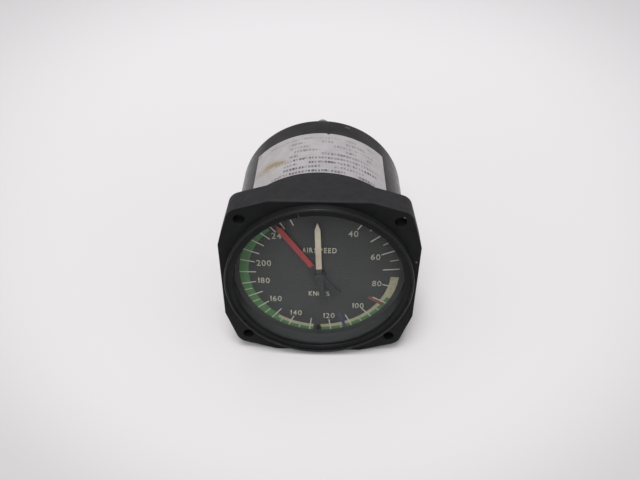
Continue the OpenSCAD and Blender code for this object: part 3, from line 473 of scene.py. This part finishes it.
def can_finish():
    """Semi-gloss black paint, worn to bare metal in a few places on the rear edge."""
    colours = finish_settings()
    base = tuple(colours.can_black)
    made = Finish("can_paint")
    x, y, z = made.axes()
    body = made.mottled(base, 11 * MM, 0.8, 1.25)
    edge = made.ramp(y, *WORN_EDGE)
    worn = made.math("MULTIPLY", edge, made.ramp(made.noise(1.6 * MM, 4), 0.66, 0.71))
    around = made.math("MULTIPLY", made.math("ARCTAN2", x, z), CAN_R)
    far = made.away(around, y, CHIP_PLACE, CHIP_REACH)
    chip = made.ramp(made.math("ADD", far, made.noise(0.7 * MM)), 1.5, 1.1)
    bare = made.math("MULTIPLY", made.math("MAXIMUM", chip, worn), 0.4)
    made.set(Base_Color=made.blend(bare, body, BARE_METAL))
    made.set(Roughness=made.uneven(3 * MM, 0.16, 0.26))
    made.set(Specular_IOR_Level=0.03)
    made.bump(made.noise(0.9 * MM, 2), 0.12, 0.03 * MM)
    return made.material


def metal_finish(name, base, rough, grain=(1, 1, 1), blackened=False):
    """Bare metal with fine tool marks and a slight tarnish, black at the dial where asked."""
    made = Finish(name)
    tarnish = made.noise(5 * MM)
    body = made.blend(made.ramp(tarnish, 0.35, 0.7), base, shade(base, 0.72))
    marks = made.noise(0.5 * MM, 3, vector=made.stretched(*grain))
    made.set(Metallic=1.0, Roughness=made.ramp(marks, *PATCH, rough - 0.07, rough + 0.09))
    if blackened:
        bare = made.ramp(made.axes()[1], *BLACK_END)
        body = made.blend(bare, tuple(finish_settings().pointer_black), body)
        made.set(Metallic=bare, Specular_IOR_Level=0.15)
    made.set(Base_Color=body)
    made.bump(marks, 0.1, 0.02 * MM)
    return made.material


def rubber_finish():
    """Matte black rubber."""
    made = Finish("seal_rubber")
    made.set(Base_Color=made.blend(made.noise(1.2 * MM), RUBBER_DARK, RUBBER_LIGHT))
    made.set(Roughness=made.uneven(0.8 * MM, 0.7, 0.85))
    made.bump(made.noise(0.4 * MM), 0.2, 0.03 * MM)
    return made.material


def ink_finish(name, base, wear=0.18):
    """Screen print that has dulled in places."""
    made = Finish(name)
    patch = made.ramp(made.noise(1.6 * MM, 4), 0.42, 0.72)
    made.set(Base_Color=made.blend(made.math("MULTIPLY", patch, wear * 2), base, shade(base, 0.6)))
    made.set(Roughness=made.uneven(0.7 * MM, 0.6, 0.75))
    made.set(Specular_IOR_Level=0.1)
    return made.material


def dial_finish():
    """Matte, slightly uneven dial paint."""
    base = tuple(finish_settings().dial_grey)
    made = Finish("dial_paint")
    made.set(Base_Color=made.mottled(base, 9 * MM, 0.94, 1.06, detail=4))
    made.set(Roughness=made.uneven(1.5 * MM, 0.7, 0.8), Specular_IOR_Level=0.1)
    return made.material


def pointer_finish(name, blade, root, direction, start):
    """Pointer paint: coloured blade from the start outwards, aged root, black hub and tail."""
    black = tuple(finish_settings().pointer_black)
    made = Finish(name)
    reach = made.along(math.sin(direction), 0, math.cos(direction))
    painted = made.ramp(reach, start - PAINT_BLUR, start + PAINT_BLUR)
    patch = made.ramp(made.noise(2.2 * MM, 4), 0.4, 0.75)
    paint = made.blend(made.ramp(reach, *AGED_REACH), root, blade)
    paint = made.blend(made.math("MULTIPLY", patch, 0.2), paint, shade(root, 0.5))
    made.set(Base_Color=made.blend(painted, black, paint))
    made.set(Roughness=made.uneven(0.9 * MM, 0.5, 0.66))
    made.set(Specular_IOR_Level=0.15)
    return made.material


def foil_finish():
    """Silver foil with rows of plain grey marks, partly rubbed off, old stains and a nick."""
    colours = finish_settings()
    base = tuple(colours.foil)
    made = Finish("label_foil")
    x, y, z = made.axes()
    around = made.math("MULTIPLY", made.math("ARCTAN2", x, z), CAN_R)
    rows = made.math("DIVIDE", made.math("SUBTRACT", y, LABEL_FRONT + ROW_MARGIN), ROW_PITCH)
    row = made.math("FLOOR", rows)
    inside = made.math("LESS_THAN", made.math("FRACT", rows), ROW_SHARE)
    word = made.random(made.math("FLOOR", made.math("DIVIDE", around, WORD_LENGTH)), row)
    marks = made.math("DIVIDE", around, MARK_PITCH)
    draw = made.random(made.math("FLOOR", marks), row)
    broken = made.ramp(made.noise(0.6 * MM, 1), 0.34, 0.5)
    mark = made.math("MULTIPLY", made.math("MULTIPLY_ADD", draw, 0.5, 0.75), broken)
    width = made.math("MULTIPLY_ADD", draw, 0.4, 0.5)
    spread = made.math("MULTIPLY_ADD", made.random(row, SPREAD_DRAW), 12 * MM, 16 * MM)
    shift = made.math("MULTIPLY_ADD", made.random(row, SHIFT_DRAW), 10 * MM, -3 * MM)
    off_centre = made.math("ABSOLUTE", made.math("SUBTRACT", around, shift))
    near = made.math("LESS_THAN", off_centre, spread)
    last = made.math("LESS_THAN", y, LABEL_REAR - ROW_MARGIN)
    faded = made.ramp(y, LABEL_FRONT, LABEL_REAR, 1.0, 0.4)
    rubbed = made.ramp(made.noise(5 * MM, 3), 0.35, 0.6, 0.4, 1.0)
    ink = made.math("MULTIPLY", inside, made.math("GREATER_THAN", word, WORD_GAPS))
    ink = made.math("MULTIPLY", ink, made.math("LESS_THAN", made.math("FRACT", marks), width))
    for part in (near, last, mark, faded, rubbed):
        ink = made.math("MULTIPLY", ink, part)
    sheet = made.mottled(base, 6 * MM, 1.0, 0.86)
    printed = made.blend(ink, sheet, MARK_INK)
    streak = made.noise(4.5 * MM, 5, 0.65, made.stretched(0.7, 1.6, 0.7))
    stained = 0.0
    for place, reach, depth in STAINS:
        far = made.away(around, y, place, reach)
        edge = made.math("SUBTRACT", made.math("MULTIPLY", streak, 2.6), far)
        stained = made.math("MAXIMUM", stained, made.ramp(edge, 0.7, 1.3, 0.0, depth))
    nick = made.math("LESS_THAN", made.away(around, y, NICK_PLACE, NICK_REACH), 1.0)
    body = made.blend(stained, printed, tuple(colours.stain))
    made.set(Base_Color=made.blend(nick, body, tuple(colours.can_black)))
    made.set(Metallic=0.35, Specular_IOR_Level=0.4)
    made.set(Roughness=made.uneven(2 * MM, 0.36, 0.5))
    made.bump(made.noise(1.1 * MM, 3), 0.2, 0.04 * MM)
    return made.material


def glass_finish():
    """Clear coated pane with little reflection, which lets the lamps through to the dial."""
    made = Finish("cover_glass")
    made.set(Base_Color=GLASS_TINT, Transmission_Weight=1.0, IOR=GLASS_IOR)
    made.set(Roughness=made.ramp(made.noise(8 * MM), 0.35, 0.75, 0.0, 0.012))
    clear = made.node("ShaderNodeBsdfTransparent")
    made.feed(clear.inputs["Color"], GLASS_SHADOW)
    path = made.node("ShaderNodeLightPath")
    passing = made.math("MAXIMUM", path.outputs["Is Shadow Ray"], path.outputs["Is Diffuse Ray"])
    mixed = made.node("ShaderNodeMixShader")
    made.feed(mixed.inputs[0], passing)
    made.tree.links.new(made.shader.outputs[0], mixed.inputs[1])
    made.tree.links.new(clear.outputs[0], mixed.inputs[2])
    made.tree.links.new(mixed.outputs[0], made.tree.nodes["Material Output"].inputs["Surface"])
    return made.material


def floor_finish():
    """Pale studio floor with painted light towards the back and painted shade far to the sides."""
    base = tuple(stage_settings().floor)
    made = Finish("studio_floor")
    x, y, _ = made.axes()
    # Painted light: the floor is painted lighter towards the back.
    body = made.blend(made.ramp(y, *FLOOR_LIGHT_DEPTH), shade(base, 0.965), shade(base, 1.125))
    reach = made.math("ADD", y, FLOOR_EYE)
    aside = made.math("DIVIDE", x, reach)
    deep = made.math("DIVIDE", 1.0, reach)
    far = made.away(aside, deep, CORNER_MIDDLE, CORNER_REACH)
    # Painted shade: the floor is painted darker towards the corners of the view.
    painted_corner_shade = made.blend(made.ramp(y, *CORNER_SHADE_DEPTH), shade(base, 0.76), shade(base, 0.9))
    made.set(Base_Color=made.blend(made.ramp(far, *CORNER_SHADE_FADE), body, painted_corner_shade))
    made.set(Roughness=made.uneven(FLOOR_GRAIN, 0.8, 0.9), Specular_IOR_Level=0.1)
    return made.material


def dress(material, *names):
    """Gives CAD nodes their finish."""
    for name in names:
        slots = NODES[name].data.materials
        slots.clear()
        slots.append(material)


def clear_selection():
    """Deselects every object."""
    bpy.ops.object.select_all(action="DESELECT")


def pick(*pieces):
    """Selects only these pieces and makes the first one active."""
    clear_selection()
    for piece in pieces:
        piece.select_set(True)
    bpy.context.view_layer.objects.active = pieces[0]


def settle(piece):
    """Puts a piece's place into its mesh."""
    pick(piece)
    bpy.ops.object.transform_apply(location=True, rotation=True, scale=True)


def upright_plane(name):
    """Unit plane in the dial's plane, facing the front, in edit mode and all selected."""
    clear_selection()
    bpy.ops.mesh.primitive_plane_add(size=1, rotation=(math.pi / 2, 0, 0))
    made = bpy.context.object
    made.name = made.data.name = name
    settle(made)
    bpy.ops.object.mode_set(mode="EDIT")
    bpy.ops.mesh.select_all(action="SELECT")
    return made


def raise_print(height):
    """Gives the flat print its height over the dial and leaves edit mode."""
    bpy.ops.mesh.select_all(action="SELECT")
    bpy.ops.mesh.extrude_region_move(TRANSFORM_OT_translate={"value": (0, -height, 0)})
    bpy.ops.mesh.select_all(action="SELECT")
    bpy.ops.mesh.normals_make_consistent(inside=False)
    bpy.ops.object.mode_set(mode="OBJECT")


def printed_bar(name, inner, outer, width, height):
    """Upright bar of print between two radii."""
    made = upright_plane(name)
    bpy.ops.transform.resize(value=(width, 1, outer - inner))
    bpy.ops.transform.translate(value=(0, DIAL_FACE, (inner + outer) / 2))
    raise_print(height)
    return made


def printed_arc(name, inner, outer, start, end, height):
    """Band of print between two radii and two directions, spun from one edge."""
    made = upright_plane(name)
    bpy.ops.transform.resize(value=(1, 1, outer - inner))
    bpy.ops.transform.translate(value=(0.5, DIAL_FACE, (inner + outer) / 2))
    bpy.ops.mesh.select_all(action="DESELECT")
    bpy.ops.object.mode_set(mode="OBJECT")
    for vertex in made.data.vertices:
        vertex.select = vertex.co.x > 0.5
    bpy.ops.object.mode_set(mode="EDIT")
    bpy.ops.mesh.delete(type="VERT")
    bpy.ops.mesh.select_all(action="SELECT")
    steps = round(math.degrees(end - start) / ARC_STEP)
    bpy.ops.mesh.spin(steps=steps, angle=start - end, center=(0, DIAL_FACE, 0), axis=(0, 1, 0))
    raise_print(height)
    made.rotation_euler = (0, start, 0)
    settle(made)
    return made


def printed_arcs(rows):
    """Bands of print, each between two of the dial's sizes and two directions."""
    size = dial_settings()
    arcs = []
    for inner, outer, start, end in rows:
        edges = getattr(size, inner), getattr(size, outer)
        arcs.append(printed_arc("arc", *edges, math.radians(start), math.radians(end), size.ink))
    return arcs


def printed_letter(letter, x, z, width, tall, weight, height):
    """One plain letter or digit fitted to a width and a height on the dial."""
    clear_selection()
    bpy.ops.object.text_add(rotation=(math.pi / 2, 0, 0))
    made = bpy.context.object
    made.data.body = letter
    made.data.resolution_u = LETTER_STEPS
    made.data.offset = weight
    bpy.ops.object.convert(target="MESH")
    made = bpy.context.object
    settle(made)
    points = [vertex.co for vertex in made.data.vertices]
    low = Vector([min(point[axis] for point in points) for axis in range(3)])
    high = Vector([max(point[axis] for point in points) for axis in range(3)])
    fit = Vector((width / (high.x - low.x), 1, tall / (high.z - low.z)))
    middle = (low + high) / 2
    made.scale = fit
    made.location = (x - middle.x * fit.x, DIAL_FACE - middle.y, z - middle.z * fit.z)
    settle(made)
    bpy.ops.object.mode_set(mode="EDIT")
    bpy.ops.mesh.select_all(action="SELECT")
    bpy.ops.mesh.remove_doubles(threshold=LETTER_WELD)
    raise_print(height)
    return made


def printed_words(words, x, z, tall, gap, weight, height):
    """Row of letters centred on a place on the dial."""
    widths = [LETTER_WIDTHS.get(letter, DIGIT_WIDTH) * tall for letter in words]
    place = x - (sum(widths) + gap * (len(words) - 1)) / 2
    letters = []
    for letter, width in zip(words, widths):
        letters.append(printed_letter(letter, place + width / 2, z, width, tall, weight, height))
        place += width + gap
    return letters


def turned_copies(master, directions):
    """Copies of a bar turned about the dial axis, each with its own mesh."""
    copies = []
    for direction in directions:
        pick(master)
        bpy.ops.object.duplicate(linked=False)
        copy = bpy.context.object
        copy.rotation_euler = (0, direction, 0)
        settle(copy)
        copies.append(copy)
    pick(master)
    bpy.ops.object.delete()
    return copies


def joined(name, pieces):
    """One named piece made of several."""
    pick(*pieces)
    if len(pieces) > 1:
        bpy.ops.object.join()
    made = bpy.context.object
    made.name = made.data.name = name
    return made


def finish_piece(piece, material, body):
    """Gives a new piece its finish and its body."""
    piece.data.materials.clear()
    piece.data.materials.append(material)
    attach(piece, body)
    return piece


def scale_direction(knots):
    """Direction of a speed on the dial, evenly spaced between the speeds of the scale table."""
    for (low, start), (high, end) in zip(SCALE, SCALE[1:]):
        if knots <= high:
            return math.radians(start + (end - start) * (knots - low) / (high - low))
    raise ValueError(f"{knots} knots is past the end of the scale")


def edge_round(place):
    """Rounding of a sharp edge of the mounting frame: widest along its top, none off its front."""
    x, y, z = place
    if abs(y) > EDGE_TOLERANCE or math.hypot(x, z) < RIM_ROOT:
        return 0.0
    if math.hypot(abs(x) - HOLE_PLACE[0], abs(z) - HOLE_PLACE[1]) < HOLE_EDGE:
        return SIDE_ROUND
    if z > FLANGE_HALF - FLAT_TOLERANCE:
        return TOP_ROUND
    if z > SIDE_END:
        return UPPER_ROUND
    return SIDE_ROUND if z > -SIDE_END else LOWER_ROUND


def rounded_frame(node, name):
    """Copy of the mounting frame's node with the edges of its front face rounded."""
    made = bpy.data.objects.new(name, NODES[node].data.copy())
    made.data.name = name
    bpy.context.scene.collection.objects.link(made)
    pick(made)
    bpy.ops.object.mode_set(mode="EDIT")
    bpy.ops.mesh.select_mode(type="EDGE")
    bpy.ops.mesh.select_all(action="SELECT")
    bpy.ops.mesh.remove_doubles(threshold=WELD)
    bpy.ops.mesh.dissolve_limited(angle_limit=COPLANAR)
    bpy.ops.mesh.select_all(action="DESELECT")
    bpy.ops.mesh.edges_select_sharp(sharpness=SHARP)
    bpy.ops.object.mode_set(mode="OBJECT")
    mesh = made.data
    weights = mesh.attributes.new("bevel_weight_edge", "FLOAT", "EDGE").data
    for edge, weight in zip(mesh.edges, weights):
        middle = sum((mesh.vertices[index].co for index in edge.vertices), Vector()) / 2
        weight.value = edge.select * edge_round(middle) / TOP_ROUND
    bevel = made.modifiers.new("edges", "BEVEL")
    bevel.width = TOP_ROUND
    bevel.segments = ROUND_STEPS
    bevel.limit_method = "WEIGHT"
    bevel.use_clamp_overlap = False
    bpy.ops.object.modifier_apply(modifier="edges")
    bpy.ops.object.shade_smooth_by_angle(angle=SMOOTH)
    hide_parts(node)
    return made


def lay_floor():
    """Floor that touches the collar and the rear edge of the can."""
    clear_selection()
    bpy.ops.mesh.primitive_grid_add(
        x_subdivisions=FLOOR_CUTS, y_subdivisions=FLOOR_CUTS, size=FLOOR_SIZE
    )
    floor = bpy.context.object
    floor.name = floor.data.name = "floor"
    contact = Matrix.Translation((0, COLLAR_REAR, -COLLAR_R))
    floor.matrix_world = contact @ Matrix.Rotation(FLOOR_TILT, 4, "X")
    settle(floor)
    floor.data.materials.append(floor_finish())


def hang_lamp(name, place, width, power):
    """Round soft lamp that points at the object."""
    bpy.ops.object.light_add(type="AREA", location=place)
    lamp = bpy.context.object
    lamp.name = name
    lamp.rotation_euler = Vector(place).to_track_quat("Z", "Y").to_euler()
    lamp.data.shape = "DISK"
    lamp.data.size = width
    lamp.data.energy = power
    lamp.data.color = LAMP_TINT


def light_room():
    """Even light, and a brighter pale room where it is seen directly or mirrored."""
    stage = stage_settings()
    world = bpy.data.worlds.new("even_light")
    bpy.context.scene.world = world
    world.use_nodes = True
    nodes, links = world.node_tree.nodes, world.node_tree.links
    background = nodes["Background"]
    background.inputs["Color"].default_value = (*ROOM_TINT, 1)
    path = nodes.new("ShaderNodeLightPath")
    level = nodes.new("ShaderNodeMapRange")
    level.inputs["To Min"].default_value = stage.ambient
    level.inputs["To Max"].default_value = stage.mirrored
    seen = path.outputs["Is Glossy Ray"]
    for ray in ("Is Camera Ray", "Is Transmission Ray"):
        either = nodes.new("ShaderNodeMath")
        either.operation = "MAXIMUM"
        links.new(seen, either.inputs[0])
        links.new(path.outputs[ray], either.inputs[1])
        seen = either.outputs[0]
    links.new(seen, level.inputs["Value"])
    links.new(level.outputs[0], background.inputs["Strength"])


def set_camera():
    """Camera at a direction, a height and a distance from its target, with a slight roll."""
    stage = stage_settings()
    sin, cos = math.sin, math.cos
    level = cos(stage.elevation)
    back = Vector((sin(stage.azimuth) * level, -cos(stage.azimuth) * level, sin(stage.elevation)))
    right = Vector((cos(stage.azimuth), sin(stage.azimuth), 0))
    up = back.cross(right)
    tilted = cos(stage.roll) * right + sin(stage.roll) * up
    upward = -sin(stage.roll) * right + cos(stage.roll) * up
    place = Vector((stage.target_x, 0, stage.target_z)) + back * stage.distance
    bpy.ops.object.camera_add()
    camera = bpy.context.object
    camera.data.sensor_width = SENSOR_WIDTH
    camera.data.lens = stage.lens
    camera.data.clip_start, camera.data.clip_end = CLIP
    turn = Matrix((tilted, upward, back)).transposed().to_4x4()
    camera.matrix_world = Matrix.Translation(place) @ turn
    bpy.context.scene.camera = camera


class INDICATOR_OT_frame(Operator):
    """Mounting frame with rounded front edges, the ring that holds the glass, and the seals"""

    bl_idname = "indicator.frame"
    bl_label = "Mounting frame"

    def execute(self, context):
        black = tuple(finish_settings().frame_black)
        moulding = rounded_frame("bezel_frame", "bezel_moulding")
        finish_piece(moulding, frame_finish(), "housing")
        dress(painted_finish("ring_paint", shade(black, 0.9), 0.42, 0.12), "snap_ring")
        dress(rubber_finish(), "glass_gasket", "case_seal")
        return {"FINISHED"}


class INDICATOR_OT_can(Operator):
    """Can, its screws, the data plate and the fittings at the rear"""

    bl_idname = "indicator.can"
    bl_label = "Can and fittings"

    def execute(self, context):
        colours = finish_settings()
        dress(can_finish(), "case")
        dress(foil_finish(), "data_plate")
        dress(painted_finish("screw_black", SCREW_BLACK, 0.4), "case_screws", "dial_screws")
        dress(metal_finish("insert_metal", INSERT_METAL, 0.42), "port_inserts")
        nipple = metal_finish("nipple_anodised", tuple(colours.nipple), 0.38, NIPPLE_GRAIN)
        dress(nipple, "static_nipple")
        return {"FINISHED"}


class INDICATOR_OT_arcs(Operator):
    """Dial face with its coloured arcs"""

    bl_idname = "indicator.arcs"
    bl_label = "Dial and arcs"

    def execute(self, context):
        colours = finish_settings()
        dress(dial_finish(), "dial_plate")
        green, white = printed_arcs(GREEN_ARCS), printed_arcs(WHITE_ARCS)
        green_ink = ink_finish("ink_green", tuple(colours.ink_green))
        white_ink = ink_finish("ink_cream", tuple(colours.ink_cream), 0.3)
        finish_piece(joined("green_arcs", green), green_ink, "housing")
        finish_piece(joined("white_arcs", white), white_ink, "housing")
        return {"FINISHED"}


class INDICATOR_OT_ticks(Operator):
    """Ticks of the speed scale"""

    bl_idname = "indicator.ticks"
    bl_label = "Scale ticks"

    def execute(self, context):
        size = dial_settings()
        height = TICK_INKS * size.ink
        labelled = [knots for knots in TENS if knots in NUMBERS and knots != WHITE_ARC_TICK]
        bare = [knots for knots in TENS if knots not in NUMBERS]
        rows = (
            (labelled, size.labelled_inner, size.tick_outer, size.major_width),
            ([WHITE_ARC_TICK], size.labelled_inner, size.white_inner, size.major_width),
            (bare, size.major_inner, size.tick_outer, size.major_width),
            (FREE_FIVES, size.minor_inner, size.tick_outer, size.minor_width),
            (ARC_FIVES, size.split, size.tick_outer, size.minor_width),
        )
        ticks = []
        for speeds, inner, outer, width in rows:
            master = printed_bar("tick", inner, outer, width, height)
            ticks += turned_copies(master, [scale_direction(knots) for knots in speeds])
        ink = ink_finish("ink_white", tuple(finish_settings().ink_white))
        finish_piece(joined("scale_ticks", ticks), ink, "housing")
        return {"FINISHED"}


class INDICATOR_OT_numbers(Operator):
    """Numbers of the scale and the two plain legends"""

    bl_idname = "indicator.numbers"
    bl_label = "Numbers and legends"

    def execute(self, context):
        size = dial_settings()
        height = TICK_INKS * size.ink
        numbers, legends = [], []
        for knots, (x, z) in NUMBERS.items():
            place = x * MM, z * MM
            fit = size.numeral_height, size.number_gap, NUMBER_WEIGHT, height
            numbers += printed_words(str(knots), *place, *fit)
        for words, x, z, gap in LEGENDS:
            place = x * MM, z * MM
            fit = size.legend_height, gap * MM, LEGEND_WEIGHT, height
            legends += printed_words(words, *place, *fit)
        white = tuple(finish_settings().ink_white)
        number_ink = ink_finish("ink_white_numbers", shade(white, 0.86), 0.25)
        legend_ink = ink_finish("ink_white_legends", shade(white, 0.98), 0.2)
        finish_piece(joined("scale_numbers", numbers), number_ink, "housing")
        finish_piece(joined("dial_legends", legends), legend_ink, "housing")
        return {"FINISHED"}


class INDICATOR_OT_limit_lines(Operator):
    """Blue and red limit lines on the dial"""

    bl_idname = "indicator.limit_lines"
    bl_label = "Limit lines"

    def execute(self, context):
        size, colours = dial_settings(), finish_settings()
        for name, inner, outer, direction, wear in LIMIT_LINES:
            width = getattr(size, f"{name}_width")
            ink = ink_finish(f"ink_{name}", tuple(getattr(colours, f"ink_{name}")), wear)
            master = printed_bar("line", inner * MM, outer * MM, width, LINE_INKS * size.ink)
            line = joined(f"{name}_line", turned_copies(master, [math.radians(direction)]))
            finish_piece(line, ink, "housing")
        return {"FINISHED"}


class INDICATOR_OT_pointers(Operator):
    """Paint of the two pointers"""

    bl_idname = "indicator.pointers"
    bl_label = "Pointers"

    def execute(self, context):
        colours = finish_settings()
        blade, root = tuple(colours.pointer_white), tuple(colours.pointer_cream)
        white = pointer_finish("pointer_white", blade, root, WHITE_DIRECTION, WHITE_START)
        paint = tuple(colours.pointer_red)
        red = pointer_finish("pointer_red", paint, paint, RED_DIRECTION, RED_START)
        dress(white, "airspeed_pointer")
        dress(red, "limit_pointer")
        return {"FINISHED"}


class INDICATOR_OT_glass(Operator):
    """Cover glass"""

    bl_idname = "indicator.glass"
    bl_label = "Cover glass"

    def execute(self, context):
        dress(glass_finish(), "glass")
        return {"FINISHED"}


class INDICATOR_OT_movement(Operator):
    """Finishes of the movement inside the can"""

    bl_idname = "indicator.movement"
    bl_label = "Movement"

    def execute(self, context):
        colours = finish_settings()
        brass, steel = tuple(colours.brass), tuple(colours.steel)
        plate = metal_finish("plate_metal", PLATE_METAL, 0.4, PLATE_GRAIN)
        dress(plate, "front_plate", "rear_plate", "rocker_lugs", "aneroid_bridge")
        turned = metal_finish("turned_brass", brass, 0.3, TURNED)
        dress(turned, "plate_pillars", "bridge_pillars", "capsule_stem", "aneroid_nut")
        dress(turned, "hairspring_collet", "hairspring_stud", "pivot_bushes")
        dress(metal_finish("bush_brass", brass, 0.3, TURNED, blackened=True), "centre_bush")
        gear = metal_finish("gear_brass", shade(brass, 1.05), 0.26, GEAR_GRAIN)
        dress(gear, "airspeed_sector", "limit_sector")
        bright = metal_finish("turned_steel", steel, 0.28, TURNED)
        dress(bright, "airspeed_arbor", "limit_arbor", "capsule_post", "aneroid_post", "hairspring")
        dress(bright, "airspeed_rocker", "limit_rocker")
        dress(bright, "pillar_screws", "lug_screws", "bridge_screws")
        staff = metal_finish("staff_steel", steel, 0.28, TURNED, blackened=True)
        dress(staff, "hand_staff", "limit_sleeve")
        bronze = metal_finish("capsule_bronze", tuple(colours.bronze), 0.33)
        dress(bronze, "pitot_capsule", "aneroid_capsule")
        return {"FINISHED"}


class INDICATOR_OT_stage(Operator):
    """Pale floor, soft overhead light and the camera"""

    bl_idname = "indicator.stage"
    bl_label = "Stage"

    def execute(self, context):
        lay_floor()
        stage = stage_settings()
        hang_lamp("overhead", OVERHEAD_PLACE, OVERHEAD_SIZE, stage.overhead)
        hang_lamp("front", FRONT_PLACE, FRONT_SIZE, stage.front)
        light_room()
        set_camera()
        context.scene.view_settings.view_transform = "Standard"
        return {"FINISHED"}


OPERATORS = (
    INDICATOR_OT_frame,
    INDICATOR_OT_can,
    INDICATOR_OT_arcs,
    INDICATOR_OT_ticks,
    INDICATOR_OT_numbers,
    INDICATOR_OT_limit_lines,
    INDICATOR_OT_pointers,
    INDICATOR_OT_glass,
    INDICATOR_OT_movement,
    INDICATOR_OT_stage,
)


class INDICATOR_PT_pieces(Panel):
    """Buttons and sizes of the indicator"""

    bl_idname = "INDICATOR_PT_pieces"
    bl_label = "Airspeed indicator"
    bl_space_type = "VIEW_3D"
    bl_region_type = "UI"
    bl_category = "Indicator"

    def draw(self, context):
        for operator in OPERATORS:
            self.layout.operator(operator.bl_idname)
        for settings in (dial_settings(), finish_settings(), stage_settings()):
            box = self.layout.box()
            for key in settings.__annotations__:
                box.prop(settings, key)


CLASSES = (DialSettings, FinishSettings, StageSettings, *OPERATORS, INDICATOR_PT_pieces)


def register():
    for item in CLASSES:
        bpy.utils.register_class(item)
    bpy.types.Scene.indicator_dial = PointerProperty(type=DialSettings)
    bpy.types.Scene.indicator_finish = PointerProperty(type=FinishSettings)
    bpy.types.Scene.indicator_stage = PointerProperty(type=StageSettings)


def unregister():
    del bpy.types.Scene.indicator_stage
    del bpy.types.Scene.indicator_finish
    del bpy.types.Scene.indicator_dial
    for item in reversed(CLASSES):
        bpy.utils.unregister_class(item)


def main():
    register()
    for operator in OPERATORS:
        group, name = operator.bl_idname.split(".")
        getattr(getattr(bpy.ops, group), name)()


if __name__ == "__main__":
    main()
